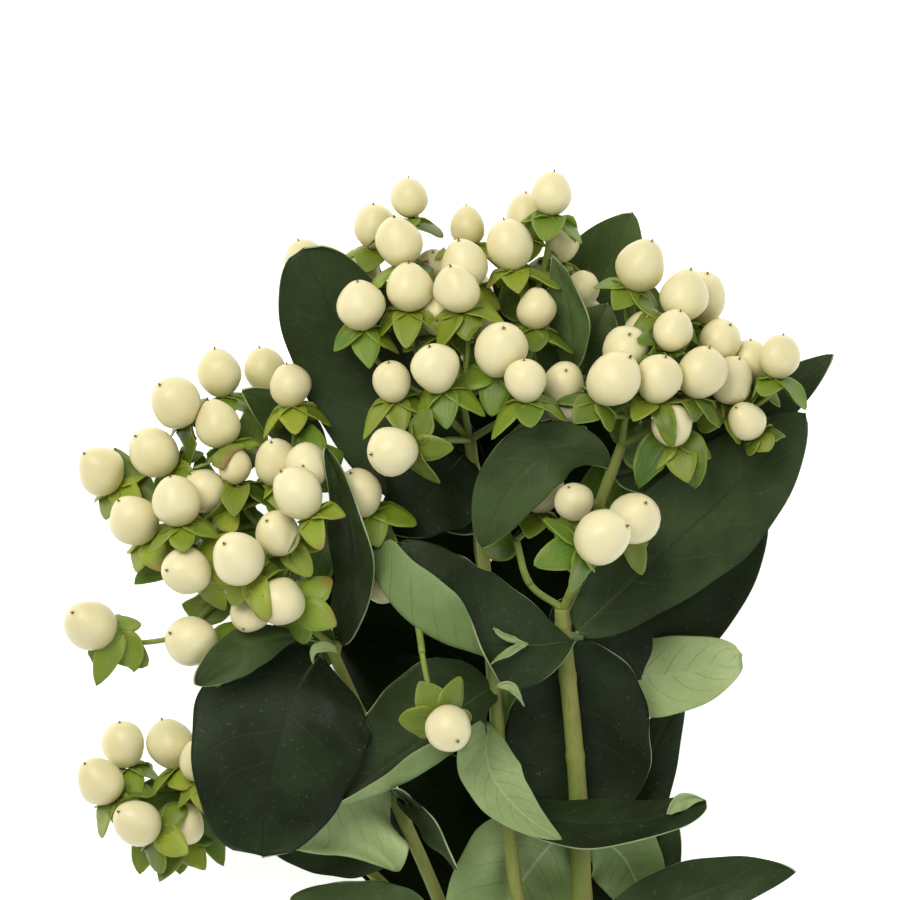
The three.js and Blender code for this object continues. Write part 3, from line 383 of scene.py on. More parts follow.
def laid_clear(points, own, berries, room):
    """A sepal's middle surface slid over the berries behind its own one and under those before it, and the way
    that its thickness goes at each point."""
    way = np.broadcast_to(own["axis"], points.shape)
    moved = [np.zeros((len(points), 1)) for _ in berries]
    for _ in range(10):
        for k, berry in enumerate(berries):
            lean = (1 if own["centre"][2] > berry["centre"][2] - 3 else -1) * 0.8 * berry["radius"]
            away = points - berry["centre"]
            gap = np.maximum(berry["radius"] * BERRY_TALL + room - np.linalg.norm(away, axis=-1, keepdims=True), 0)
            points = points + gap * unit(away + [0, 0, lean])
            moved[k] += gap
        if sum(m.max() for m in moved) > 0:
            away = points - own["centre"]
            gap = own["radius"] * 1.07 + room - np.linalg.norm(away, axis=-1, keepdims=True)
            points = points + np.maximum(gap, 0) * unit(away)
    for berry, shift in zip(berries, moved):
        away = unit(points - berry["centre"])
        same = np.where((away * own["axis"]).sum(-1, keepdims=True) < 0, -1, 1)
        way = np.where(shift > 0.02, away * same, way)
    return points, way


def lies_clear(points, faces, berries):
    """Whether a sepal's corners and the middles of its faces all lie outside these berries."""
    middles = np.array([points[list(face)].mean(0) for face in faces])
    for berry in berries:
        away = np.concatenate([points, middles]) - berry["centre"]
        if np.linalg.norm(away, axis=1).min() < berry["radius"] * 1.13 + 0.2:
            return False
    return True


def close_berries(berry, berries):
    return [b for b in berries if b is not berry and np.linalg.norm(b["centre"] - berry["centre"]) < 24]


def calyx_outline(berry, seed, others):
    u, w = cross_axes(berry["axis"])
    outline = []
    for lobe in range(5):
        long, back, turn = sepal_shape(seed, lobe)
        out = u * math.cos(turn) + w * math.sin(turn)
        side = np.cross(berry["axis"], out)
        rows = [(1.6, -1.15, 0.3), (0.55 * long, -SEPAL_HALF, 0.3 * back * long),
                (long * (1 - 0.25 * back), 0, 0.75 * back * long), (0.55 * long, SEPAL_HALF, 0.3 * back * long)]
        for reach, across, drop in rows:
            outline.append(berry["calyx"] + out * reach + side * across - berry["axis"] * drop)
    return push_clear(np.array(outline), others)


# ---------------------------------------------------------------- balls that fill the same room as the solids

def balls_along(line, radius_at, step):
    t = np.linspace(0, 1, 201)
    points = line(t)
    run = np.concatenate([[0], np.cumsum(np.linalg.norm(np.diff(points, axis=0), axis=1))])
    count = max(2, math.ceil(run[-1] / step))
    share = np.linspace(0, 1, count + 1)
    centres = line(np.interp(share, run / run[-1], t))
    radii = np.array([radius_at(s) for s in share])
    return np.column_stack([centres, radii, np.zeros(count + 1)])


def stem_balls():
    rows = []
    for points, foot, tip in SHOOTS.values():
        rows.append(balls_along(lambda t, p=points: smooth_line(p, t), lambda s, a=foot, b=tip: mix(a, b, s), 1.5))
    return np.vstack(rows)


def spray_balls(spray, seed):
    joints = [np.array(f[:3], float) for f in spray["forks"]]
    berries = [berry_place(row) for row in spray["berries"]]
    rows = []
    for fork, joint in list(zip(spray["forks"], joints))[1:]:
        ends = [joints[fork[3]], joint]
        rows.append(balls_along(lambda t, e=ends: bezier(e, t), lambda s: FORK_STALK, 1.5))
    for i, berry in enumerate(berries):
        line = stalk_line(joints[berry["fork"]], berry)
        rows.append(np.array([[*berry["centre"], berry["radius"] * 1.04, 0]]))
        rows.append(balls_along(lambda t, e=line: bezier(e, t), lambda s: STALK, 1.5))
        for p in calyx_outline(berry, seed + 20 * i, close_berries(berry, berries)):
            for t in (0.4, 0.7, 1):
                rows.append(np.array([[*mix(berry["calyx"], p, t), 0.5, 0]]))
    return np.vstack(rows)


# ---------------------------------------------------------------- leaves

def along_at(i):
    return mix(i / ROWS, 0.5 - 0.5 * np.cos(np.pi * i / ROWS), 0.6)


def half_width(leaf, u):
    bow = np.sin(np.pi * u ** (math.log(0.5) / math.log(leaf["belly"])))
    return leaf["wide"] / 2 * np.maximum(0, bow) ** mix(leaf["foot"], leaf["tip"], u)


def section(leaf, u, v):
    """How far out and up the blade has come at v of a half, which curls evenly and may fold over."""
    side, from_u, from_v, angle = leaf["fold"] or (0, 0, 0, 0)
    turn = np.where(np.sign(v) == side, angle * ease(u, from_u, from_u + 0.22), 0) if side else 0 * u
    curl = np.where(v < 0, leaf["curl"][0], leaf["curl"][1])
    steps = (np.arange(24) + 0.5) / 24
    s = np.abs(v)[..., None] * steps
    lean = curl[..., None] * s + turn[..., None] * ease(s, from_v, from_v + 0.3)
    return np.sign(v) * np.cos(lean).mean(-1) * np.abs(v), np.sin(lean).mean(-1) * np.abs(v)


def blade(leaf, u, v):
    """The middle of the blade at u along the midrib and v across, before it settles."""
    rib = leaf["rib"]
    tangent = unit(bezier(rib, np.minimum(1, u + 0.01)) - bezier(rib, np.maximum(0, u - 0.01)))
    face = unit(np.array([0.0, 0, 1]) - tangent * tangent[..., 2:])
    roll = np.radians(mix(leaf["roll"][0], leaf["roll"][1], u))[..., None]
    face = face * np.cos(roll) + np.cross(tangent, face) * np.sin(roll)
    side = np.cross(tangent, face)
    half = half_width(leaf, u)
    out, up = section(leaf, u, v)
    phase = 2.2 * u + 0.3 * v + leaf["wide"] / 7
    ripple = leaf["wave"] * leaf["wide"] * v * v * np.sin(2 * np.pi * phase)
    return bezier(rib, u) + side * (half * out)[..., None] + face * (half * up + ripple)[..., None]


def net_weights(fine, last_row):
    """How much each corner of the net counts at places `fine` to each side of its cells."""
    rows = []
    for i in range(ROWS * fine + last_row):
        for j in range(COLUMNS * fine + 1):
            r, c = min(ROWS - 1, i // fine), min(COLUMNS - 1, j // fine)
            a, b = i / fine - r, j / fine - c
            k = r * (COLUMNS + 1) + c
            row = np.zeros((ROWS + 1) * (COLUMNS + 1))
            row[[k, k + 1, k + COLUMNS + 1, k + COLUMNS + 2]] = (1 - a) * (1 - b), (1 - a) * b, a * (1 - b), a * b
            rows.append(row)
    return np.array(rows)


SETTLE_WEIGHTS = net_weights(4, 0)
SHEET_WEIGHTS = net_weights(5, 1)


def settled_net(leaf, balls):
    """The coarse net of a leaf as drawn, and moved up or down until the blade clears every ball."""
    u, v = np.meshgrid(along_at(np.arange(ROWS + 1)), np.linspace(-1, 1, COLUMNS + 1), indexing="ij")
    drawn = blade(leaf, u, v).reshape(-1, 3)
    net = drawn.copy()
    net[:, 2] = np.maximum(net[:, 2], TABLE_LEAF)
    foot = np.array(leaf["rib"][0], float)
    low, high = net[:, :2].min(0) - 9, net[:, :2].max(0) + 9
    inside = np.all((balls[:, :2] >= low) & (balls[:, :2] <= high), axis=1)
    near = balls[inside & (np.linalg.norm(balls[:, :3] - foot, axis=1) > 5)]
    points = SETTLE_WEIGHTS @ net
    flat = np.linalg.norm(points[:, None, :2] - near[None, :, :2], axis=2)
    above = (points[flat.argmin(0), 2] >= near[:, 2]) | (near[:, 4] > 0)
    square = (near[:, 3] + TABLE_LEAF + CLEAR) ** 2 - flat**2
    root = np.sqrt(np.maximum(0, square))
    floor = np.where((square > 0) & above, near[:, 2] + root, TABLE_LEAF).max(1)
    roof = np.where((square > 0) & ~above, near[:, 2] - root, np.inf).min(1)
    tight = floor > roof
    floor[tight] = roof[tight] = (floor[tight] + roof[tight]) / 2
    free = np.linalg.norm(points - foot, axis=1) >= 4
    for _ in range(60):
        z = SETTLE_WEIGHTS @ net[:, 2]
        move = np.where(z < floor, floor - z, np.where(z > roof, roof - z, 0)) * free
        pushed = SETTLE_WEIGHTS * (move != 0)[:, None]
        shift = 1.4 * (pushed.T @ move) / (pushed.sum(0) + 1e-6)
        shift[: COLUMNS + 1] = 0
        net[:, 2] = np.where(np.arange(len(net)) > COLUMNS, np.maximum(TABLE_LEAF, net[:, 2] + shift), net[:, 2])
    return drawn, net


def sheet_balls(net):
    places = SHEET_WEIGHTS @ net
    return np.column_stack([places, np.full(len(places), 1.0), np.ones(len(places))])


def bicubic(grid, rows, columns):
    """A smooth surface through a grid of values, read at fractional rows and columns."""
    lines = np.stack([smooth_line(grid[:, j:j + 1], rows[:, 0] / (grid.shape[0] - 1))[:, 0]
                      for j in range(grid.shape[1])], axis=1)
    return np.stack([smooth_line(line[:, None], columns[0] / (grid.shape[1] - 1))[:, 0] for line in lines])


def blade_relief(leaf, u, v):
    """Height of the blade over its plain surface: a sunk midrib, soft side veins and a gentle swell."""
    across = v * half_width(leaf, u)
    length = np.linalg.norm(np.diff(bezier(leaf["rib"], np.linspace(0, 1, 40)), axis=0), axis=1).sum()
    count = max(4, round(length / 8))
    phase = count * (u - 0.10 * np.abs(v) - 0.14 * v * v) + 0.35 * (v > 0)
    between = 0.5 - 0.5 * np.cos(2 * np.pi * phase)
    full = ease(np.abs(v), 0.03, 0.25) * (1 - ease(np.abs(v), 0.72, 0.98)) * np.sin(np.pi * u) ** 0.5
    swell = np.sin(2 * np.pi * (1.4 * u + 0.5 * v) + leaf["wide"]) * np.sin(np.pi * u)
    groove = np.exp(-((across / 0.55) ** 2)) * (1 - 0.75 * u)
    return 0.06 * between * full + 0.3 * swell * ease(np.abs(v), 0.0, 0.6) - 0.34 * groove


def wavering(leaf, u, v):
    """How far the edge wavers in and out, as a share of the width."""
    p = 1.7 * leaf["wide"] + 2.0 * np.sign(v)
    side, where, reach, deep = leaf.get("dent", (0, 0, 1, 0))
    dent = 1 - deep * np.exp(-(((u - where) / reach) ** 2)) * (np.sign(v) == side)
    return dent * (1 + 0.022 * np.sin(2 * np.pi * 1.9 * u + p) + 0.014 * np.sin(2 * np.pi * 4.3 * u + 2.3 * p))


def blade_surface(leaf, drawn, net, along, across):
    """The fine surface of a settled leaf, as rows of points from foot to tip."""
    u, v = np.meshgrid(np.linspace(0, 1, along + 1), np.linspace(-1, 1, across + 1), indexing="ij")
    surface = blade(leaf, u, v * wavering(leaf, u, v))
    if net is not None:
        lift = (net - drawn)[:, 2].reshape(ROWS + 1, COLUMNS + 1)
        steps = np.linspace(0, ROWS, 400)
        row = np.interp(u, along_at(steps), steps)
        surface[..., 2] += bicubic(lift, row, (v + 1) / 2 * COLUMNS)
    normal = unit(np.cross(np.gradient(surface, axis=1), np.gradient(surface, axis=0)))
    surface += normal * blade_relief(leaf, u, v)[..., None]
    surface[..., 2] = np.maximum(surface[..., 2], BLADE / 2 + 0.02)
    return surface


# ---------------------------------------------------------------- modelling

def deselect():
    bpy.ops.object.select_all(action="DESELECT")


def grid_piece(name, points, merge=0.01):
    """A mesh grid whose points are placed, row by row, and joined where they meet."""
    along, across = points.shape[0] - 1, points.shape[1] - 1
    deselect()
    bpy.ops.mesh.primitive_grid_add(x_subdivisions=across, y_subdivisions=along, size=2)
    piece = bpy.context.active_object
    piece.name = piece.data.name = name
    co = np.empty(len(piece.data.vertices) * 3)
    piece.data.vertices.foreach_get("co", co)
    co = co.reshape(-1, 3)
    row = np.rint((co[:, 1] + 1) / 2 * along).astype(int)
    column = np.rint((co[:, 0] + 1) / 2 * across).astype(int)
    piece.data.vertices.foreach_set("co", to_frame(points[row, column]).ravel())
    bpy.ops.object.mode_set(mode="EDIT")
    bpy.ops.mesh.select_all(action="SELECT")
    bpy.ops.mesh.remove_doubles(threshold=merge * MM)
    bpy.ops.object.mode_set(mode="OBJECT")
    return piece


def apply_modifier(piece, kind, **settings):
    modifier = piece.modifiers.new(kind.lower(), kind)
    for key, value in settings.items():
        setattr(modifier, key, value)
    deselect()
    piece.select_set(True)
    bpy.context.view_layer.objects.active = piece
    bpy.ops.object.modifier_apply(modifier=modifier.name)


def mark(piece, name, values):
    """A number on each point of a piece, or one for all of it."""
    attribute = piece.data.attributes.get(name) or piece.data.attributes.new(name, "FLOAT", "POINT")
    values = np.broadcast_to(np.asarray(values, np.float32), (len(piece.data.vertices),))
    attribute.data.foreach_set("value", np.ascontiguousarray(values))


def copy_of(model, name, points):
    """A copy of a modelled piece with its own mesh, its points placed anew."""
    piece = model.copy()
    piece.data = model.data.copy()
    piece.name = piece.data.name = name
    bpy.context.scene.collection.objects.link(piece)
    piece.data.vertices.foreach_set("co", to_frame(points).ravel())
    piece.data.update()
    return piece


def join(pieces, name):
    deselect()
    for piece in pieces:
        piece.select_set(True)
    bpy.context.view_layer.objects.active = pieces[0]
    if len(pieces) > 1:
        bpy.ops.object.join()
    whole = bpy.context.view_layer.objects.active
    whole.name = whole.data.name = name
    return whole


def points_of(piece):
    """A model's points in its own units."""
    co = np.empty(len(piece.data.vertices) * 3)
    piece.data.vertices.foreach_get("co", co)
    return co.reshape(-1, 3)


def finish_piece(piece, slot, *nodes):
    piece.data.shade_smooth()
    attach(piece, "root")
    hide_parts(*nodes)
    return piece


def tube_points(line, radii, sides, cap_foot=True, cap_tip=True):
    """Rings of points round a line, closed to a point at its ends."""
    tangent = unit(np.gradient(line, axis=0))
    side, _ = cross_axes(tangent[0])
    angle = np.linspace(0, 2 * np.pi, sides + 1)
    rings = []
    for k in range(len(line)):
        side = unit(side - tangent[k] * (side @ tangent[k]))
        other = np.cross(tangent[k], side)
        ring = np.outer(np.cos(angle), side) + np.outer(np.sin(angle), other)
        rings.append(line[k] + ring * np.asarray(radii[k]).reshape(-1, 1))
    if cap_foot:
        rings.insert(0, np.broadcast_to(line[0], rings[0].shape))
    if cap_tip:
        rings.append(np.broadcast_to(line[-1], rings[-1].shape))
    return np.array(rings)


# ---------------------------------------------------------------- berries, calyces and stalks

def model_berry(skin):
    """One berry of radius 1 along +Z: an egg, a little flat at its calyx."""
    deselect()
    bpy.ops.mesh.primitive_uv_sphere_add(segments=28, ring_count=16, radius=1)
    berry = bpy.context.active_object
    berry.name = "berry_model"
    co = points_of(berry)
    rise = co[:, 2].copy()
    turn = np.arctan2(co[:, 1], co[:, 0])
    part = 1 - 0.03 * ease(np.cos(3 * turn), 0.2, 1) * (1 - rise**2)
    girth = (1.03 - 0.06 * ease(rise, 0.2, 1) - 0.08 * ease(-rise, 0.0, 1)) * part
    co[:, 0] *= girth
    co[:, 1] *= girth
    co[:, 2] = rise * np.where(rise > 0, BERRY_TALL, 1.12) - 0.03 * ease(rise, 0.965, 1)
    berry.data.vertices.foreach_set("co", co.ravel())
    berry.data.materials.append(skin)
    mark(berry, "along", (rise + 1) / 2)
    mark(berry, "tone", 0)
    return berry


def lumps(points, seed):
    """How much one berry swells or sinks at each of its points, as no two grow alike."""
    way = unit(points)
    ends = 1 - (points[:, 2] / BERRY_TALL) ** 4
    total = np.zeros(len(points))
    for k, (often, deep) in enumerate(((2.3, 0.05), (4.0, 0.028))):
        axis = unit(np.array([chance(seed + 70 + 3 * k + n) - 0.5 for n in range(3)]))
        total += deep * np.sin(often * (way @ axis) + 6.3 * chance(seed + 80 + k))
    return (1 + total * ends)[:, None]


def model_styles(dry):
    """Three dry style ends at a berry's tip, for a berry of radius 1."""
    parts = []
    for k in range(3):
        deselect()
        bpy.ops.mesh.primitive_cone_add(vertices=6, radius1=0.035, radius2=0.015, depth=1, location=(0, 0, 0.5))
        style = bpy.context.active_object
        bpy.ops.object.transform_apply(location=True)
        bpy.ops.object.mode_set(mode="EDIT")
        bpy.ops.mesh.select_all(action="SELECT")
        bpy.ops.mesh.subdivide(number_cuts=2)
        bpy.ops.object.mode_set(mode="OBJECT")
        co = points_of(style)
        rise = co[:, 2].copy()
        turn = 2 * math.pi * k / 3 + 0.4
        lean = 0.012 + 0.02 * rise**1.5
        co[:, 0] += math.cos(turn) * lean
        co[:, 1] += math.sin(turn) * lean
        co[:, 2] = BERRY_TALL - 0.08 + rise * (0.16 + 0.03 * k)
        style.data.vertices.foreach_set("co", co.ravel())
        parts.append(style)
    model = join(parts, "styles_model")
    model.data.materials.append(dry)
    return model


def model_sepal(face, back):
    """One flat sepal, 1 long and 1 half-wide: x across, y along, z its thickness. It is ovate, drawn to a
    short point, and narrow where it joins the berry."""
    deselect()
    bpy.ops.mesh.primitive_grid_add(x_subdivisions=SEPAL_ACROSS, y_subdivisions=SEPAL_ALONG, size=2)
    sepal = bpy.context.active_object
    sepal.name = "sepal_model"
    co = points_of(sepal)
    along = 1 - (1 - (co[:, 1] + 1) / 2) ** 1.5
    broad = np.sin(np.pi * along**0.85) ** 0.45
    co[:, 0] *= np.maximum(broad, 0.4 * (1 - along) ** 2)
    co[:, 1] = along
    sepal.data.vertices.foreach_set("co", co.ravel())
    bpy.ops.object.mode_set(mode="EDIT")
    bpy.ops.mesh.select_all(action="SELECT")
    bpy.ops.mesh.remove_doubles(threshold=0.001)
    bpy.ops.object.mode_set(mode="OBJECT")
    for side in (face, back):
        sepal.data.materials.append(side)
    apply_modifier(sepal, "SOLIDIFY", thickness=0.1, offset=0, material_offset=1, material_offset_rim=0)
    mark(sepal, "tone", 0)
    return sepal


def place_sepal(berry, seed, lobe, shape, share):
    """The middle surface of a sepal on its berry, given the model's points and the share of its full length."""
    long, back, turn = sepal_shape(seed, lobe)
    long *= 1.16 * share
    back = mix(back, 1.0, 0.25)
    u, w = cross_axes(berry["axis"])
    out = u * math.cos(turn) + w * math.sin(turn)
    side = np.cross(berry["axis"], out)
    along = shape[:, 1]
    across = shape[:, 0] * (1 - mix(0.1, 0.7, chance(seed + lobe + 53)) * along**4)
    cup = mix(-0.8, 1.6, chance(seed + lobe + 31))
    twist = mix(-0.5, 0.5, chance(seed + lobe + 47)) * along
    reach = mix(0.6, long * (1 - 0.22 * back), along)
    drop = -0.15 + 0.78 * back * long * along**1.5 - cup * across**2 + 1.6 * twist * across
    wave = 0.25 * np.sin(9 * along + 3 * across + seed)
    half = SEPAL_HALF * mix(1.15, 1.5, chance(seed + lobe + 17)) * mix(1, share, 0.5)
    drop = drop + wave * np.abs(across)
    return (berry["calyx"] + np.outer(reach, out) + np.outer(across * half, side)
            - np.outer(drop, berry["axis"]))


def heading_at(forks, joints, k):
    """The way that a stalk runs through fork k, between how it came and how it goes on."""
    came = unit(joints[k] - joints[forks[k][3]])
    on = [unit(joints[n] - joints[k]) for n, fork in enumerate(forks) if n and fork[3] == k]
    return unit(came + (np.mean(on, axis=0) if on else came))


def make_spray(name, spray, seed, models, materials):
    joints = [np.array(f[:3], float) for f in spray["forks"]]
    berries = [berry_place(row) for row in spray["berries"]]
    fruits, tips, sepals, stalks = [], [], [], []
    for i, berry in enumerate(berries):
        own = seed + 20 * i
        u, w = cross_axes(berry["axis"])
        turn = 2 * math.pi * chance(own + 3)
        axes = np.array([u * math.cos(turn) + w * math.sin(turn), w * math.cos(turn) - u * math.sin(turn),
                         berry["axis"]])
        shape = points_of(models["berry"])
        swell = 1 + np.array([0.05, -0.05, 0]) * (chance(own + 9) - 0.5) - np.array([0, 0, 0.07]) * chance(own + 13)
        taper = mix(-0.1, 0.13, chance(own + 21)) * np.clip(-shape[:, 2:], -1, 1)
        shape = shape * lumps(shape, own) * swell * (1 + taper * [1, 1, 0])
        fruit = copy_of(models["berry"], f"berry_{i}", berry["centre"] + 1.02 * berry["radius"] * shape @ axes)
        # Lower berries get a darker tone: painted shade among the recessed berries, with a random part added.
        mark(fruit, "tone", min(1, max(0, (berry["centre"][2] - 45) / 40)) * 0.65 + 0.35 * chance(own + 1))
        fruits.append(fruit)
        shape = points_of(models["styles"]) * [1, 1, swell[2]]
        tips.append(copy_of(models["styles"], f"styles_{i}", berry["centre"] + berry["radius"] * shape @ axes))
        others = close_berries(berry, berries)
        shape = points_of(models["sepal"])
        faces = [tuple(face.vertices) for face in models["sepal"].data.polygons]
        most = SHORT_SEPALS.get((name, i), 1)
        for lobe in range(5):
            for share in (1, 0.85, 0.7, 0.55, 0.4, 0.3):
                points, way = laid_clear(place_sepal(berry, own, lobe, shape, share * most), berry, others, 0.45)
                if lies_clear(points, faces, others):
                    break
            points = points + way * shape[:, 2:] / 0.1 * SEPAL_BLADE
            sepal = copy_of(models["sepal"], f"sepal_{i}_{lobe}", points)
            mark(sepal, "tone", 0.5 * chance(own + 59) + 0.5 * chance(own + lobe + 60))
            mark(sepal, "fresh", chance(own + 63))
            sepals.append(sepal)
        line = bezier(stalk_line(joints[berry["fork"]], berry) , np.linspace(0, 1, 13))
        t = np.linspace(0, 1, 13)
        radii = STALK * (0.95 - 0.15 * t + 0.9 * ease(t, 0.88, 1))
        stalks.append(grid_piece(f"stalk_{i}", tube_points(line, radii, 8)))
    for k, fork in list(enumerate(spray["forks"]))[1:]:
        first, last = joints[fork[3]], joints[k]
        far = np.linalg.norm(last - first)
        came = heading_at(spray["forks"], joints, fork[3]) if fork[3] else unit(last - first)
        ends = [first, first + came * far / 3, last - heading_at(spray["forks"], joints, k) * far / 3, last]
        t = np.linspace(0, 1, 15)
        radii = FORK_STALK * (0.9 + 0.06 * np.exp(-((t / 0.15) ** 2)) - 0.05 * t)
        line = bezier(ends, t)
        stalks.append(grid_piece(f"fork_stalk_{k}", tube_points(line, radii, 10)))
    short = name.replace("spray_", "")
    finish_piece(join(fruits, f"berries_{short}"), "berry", name)
    finish_piece(join(tips, f"styles_{short}"), "stem", name)
    finish_piece(join(sepals, f"calyces_{short}"), "bract", name)
    whole = join(stalks, f"stalks_{short}")
    whole.data.materials.append(materials["stalk"])
    finish_piece(whole, "stem", name)


# ---------------------------------------------------------------- leaves and the stem as pieces

def make_bracts(materials):
    """The small leaves at the forks, in one piece for each spray."""
    for owner in dict.fromkeys(row[0] for row in BRACTS):
        parts = []
        for k, (name, rib, wide, tone) in enumerate(BRACTS):
            if name != owner:
                continue
            leaf = {**LEAF, "rib": rib, "wide": wide, "curl": (0.2 + 0.2 * chance(k), 0.2), "roll": (0, 20 - 40 * chance(k))}
            part = grid_piece(f"bract_{k}", blade_surface(leaf, None, None, 20, 10))
            for side in ("sepal", "sepal_under", "sepal"):
                part.data.materials.append(materials[side])
            apply_modifier(part, "SOLIDIFY", thickness=0.35 * MM, offset=0, material_offset=1, material_offset_rim=2)
            mark(part, "tone", 0.7 * tone)
            mark(part, "fresh", 0.6)
            parts.append(part)
        finish_piece(join(parts, "bracts_" + owner.replace("spray_", "")), "bract", owner)


def make_curls(surfaces, materials):
    """The curled pale margins, lying on the topmost blade."""
    top = np.vstack([surface.reshape(-1, 3) for surface in surfaces])
    for k, (owner, line, wide) in enumerate(CURLS):
        rib = []
        for x, y, *height in line:
            near = np.hypot(top[:, 0] - x, top[:, 1] - y) < 1.6
            rib.append([x, y, height[0] if height else top[near, 2].max() + 0.9])
        leaf = {**LEAF, "rib": rib, "wide": wide, "curl": (0.6, 0.3), "roll": (0, 15), "foot": 0.9, "tip": 0.9}
        part = grid_piece(f"curl_{k}", blade_surface(leaf, None, None, 24, 8))
        for side in ("leaf_under", "leaf_under", "leaf_rim"):
            part.data.materials.append(materials[side])
        apply_modifier(part, "SOLIDIFY", thickness=0.35 * MM, offset=0, material_offset=1, material_offset_rim=2)
        mark(part, "tone", 0.7)
        finish_piece(part, "leaf", owner)


def make_leaf(name, leaf, surface, materials):
    piece = grid_piece(name.replace("leaf_", "blade_"), surface)
    sides = ["leaf_top", "leaf_under", "leaf_rim"]
    # The leaves at the back show the face with painted shade, darkened towards near black, as they lie in shadow
    # behind the others.
    if name.startswith("leaf_back"):
        sides = ["leaf_under", "leaf_shaded", "leaf_rim"]
    for side in sides:
        piece.data.materials.append(materials[side])
    apply_modifier(piece, "SOLIDIFY", thickness=BLADE * MM, offset=0, material_offset=1, material_offset_rim=2)
    mark(piece, "tone", 0.1 if name.startswith("leaf_back") else TONES.get(name, 0.3))
    return finish_piece(piece, leaf["finish"], name)


def make_stem(materials):
    shoots = []
    for name, (points, foot, tip) in SHOOTS.items():
        length = np.linalg.norm(np.diff(np.array(points, float), axis=0), axis=1).sum()
        steps = max(16, round(length / 2.2))
        t = np.linspace(0, 1, steps + 1)
        line = smooth_line(points, t)
        angle = np.linspace(0, 2 * np.pi, 17)
        radii = []
        for k, s in enumerate(t):
            joint = sum(np.exp(-(((s * length - at) / 2.2) ** 2)) for at in node_places(name, length))
            ridge = 1 + 0.05 * np.cos(2 * angle + 0.8) ** 2
            radii.append(mix(foot, tip, s) * (1 + 0.12 * joint) * ridge * 0.98)
        shoots.append(grid_piece(f"shoot_{name}", tube_points(line, radii, 16, cap_foot=name != "main")))
    stem = join(shoots, "shoots")
    stem.data.materials.append(materials["bark"])
    finish_piece(stem, "stem", "stem")
    make_cut_end(materials)


def node_places(name, length):
    """How far along a shoot its leaf joints are."""
    spacing = {"main": 38, "middle": 34, "left": 36}.get(name, 30)
    return np.arange(0.35 * spacing, length, spacing)


def make_cut_end(materials):
    """The cut face of the stem: a thin rim of bark, pale wood and a soft pith."""
    points, foot, tip = SHOOTS["main"]
    start = smooth_line(points, np.array([0.0, 0.01]))
    axis = unit(start[1] - start[0])
    radius = foot * 0.98 * 1.02
    rings = [(radius, 0.0), (radius * 0.97, -0.03), (radius * 0.9, 0.05), (radius * 0.55, 0.0), (radius * 0.3, 0.05),
             (radius * 0.24, 0.35), (0.0, 0.4)]
    side, other = cross_axes(axis)
    angle = np.linspace(0, 2 * np.pi, 33)
    ring = np.outer(np.cos(angle), side) + np.outer(np.sin(angle), other)
    face = np.array([start[0] + axis * rise + ring * reach for reach, rise in rings])
    piece = grid_piece("cut_end", face[::-1])
    apply_modifier(piece, "SOLIDIFY", thickness=0.2 * MM, offset=-1)
    piece.data.materials.append(materials["cut_wood"])
    finish_piece(piece, "stem", "stem")


# ---------------------------------------------------------------- shaders

def linear(colour):
    """A colour like 8fa04e as linear red, green, blue and 1."""
    rgb = [int(colour[k:k + 2], 16) / 255 for k in (0, 2, 4)]
    return [c / 12.92 if c <= 0.04045 else ((c + 0.055) / 1.055) ** 2.4 for c in rgb] + [1]


def feed(tree, socket, value):
    if isinstance(value, bpy.types.NodeSocket):
        tree.links.new(value, socket)
    elif isinstance(value, str):
        socket.default_value = linear(value)
    else:
        socket.default_value = value


def sum_node(tree, operation, *values, clamp=False):
    node = tree.nodes.new("ShaderNodeMath")
    node.operation = operation
    node.use_clamp = clamp
    for socket, value in zip(node.inputs, values):
        feed(tree, socket, value)
    return node.outputs[0]


def blend_colour(tree, share, a, b, kind="MIX"):
    node = tree.nodes.new("ShaderNodeMix")
    node.data_type = "RGBA"
    node.blend_type = kind
    feed(tree, node.inputs[0], share)
    feed(tree, node.inputs[6], a)
    feed(tree, node.inputs[7], b)
    return node.outputs[2]


def spread(tree, value, low, high, to_low=0.0, to_high=1.0):
    """A value from low to high made to run from to_low to to_high, smoothly."""
    node = tree.nodes.new("ShaderNodeMapRange")
    node.interpolation_type = "SMOOTHSTEP"
    for socket, number in zip(node.inputs, (value, low, high, to_low, to_high)):
        feed(tree, socket, number)
    return node.outputs[0]


def object_place(tree):
    return tree.nodes.new("ShaderNodeTexCoord").outputs["Object"]


def uv_place(tree):
    split = tree.nodes.new("ShaderNodeSeparateXYZ")
    tree.links.new(tree.nodes.new("ShaderNodeTexCoord").outputs["UV"], split.inputs[0])
    return split.outputs[0], split.outputs[1]


def noise(tree, place, scale, detail=3, roughness=0.55):
    node = tree.nodes.new("ShaderNodeTexNoise")
    feed(tree, node.inputs["Vector"], place)
    feed(tree, node.inputs["Scale"], scale)
    node.inputs["Detail"].default_value = detail
    node.inputs["Roughness"].default_value = roughness
    return node.outputs["Fac"]


def marked(tree, name):
    node = tree.nodes.new("ShaderNodeAttribute")
    node.attribute_name = name
    return node.outputs["Fac"]


def new_group(name, inputs, outputs):
    group = bpy.data.node_groups.new(name, "ShaderNodeTree")
    for title, value in inputs.items():
        group.interface.new_socket(name=title, in_out="INPUT", socket_type="NodeSocketFloat").default_value = value
    for title in outputs:
        group.interface.new_socket(name=title, in_out="OUTPUT", socket_type="NodeSocketFloat")
    return group, group.nodes.new("NodeGroupInput"), group.nodes.new("NodeGroupOutput")


def use_group(tree, group, **values):
    node = tree.nodes.new("ShaderNodeGroup")
    node.node_tree = group
    for title, value in values.items():
        feed(tree, node.inputs[title], value)
    return node.outputs


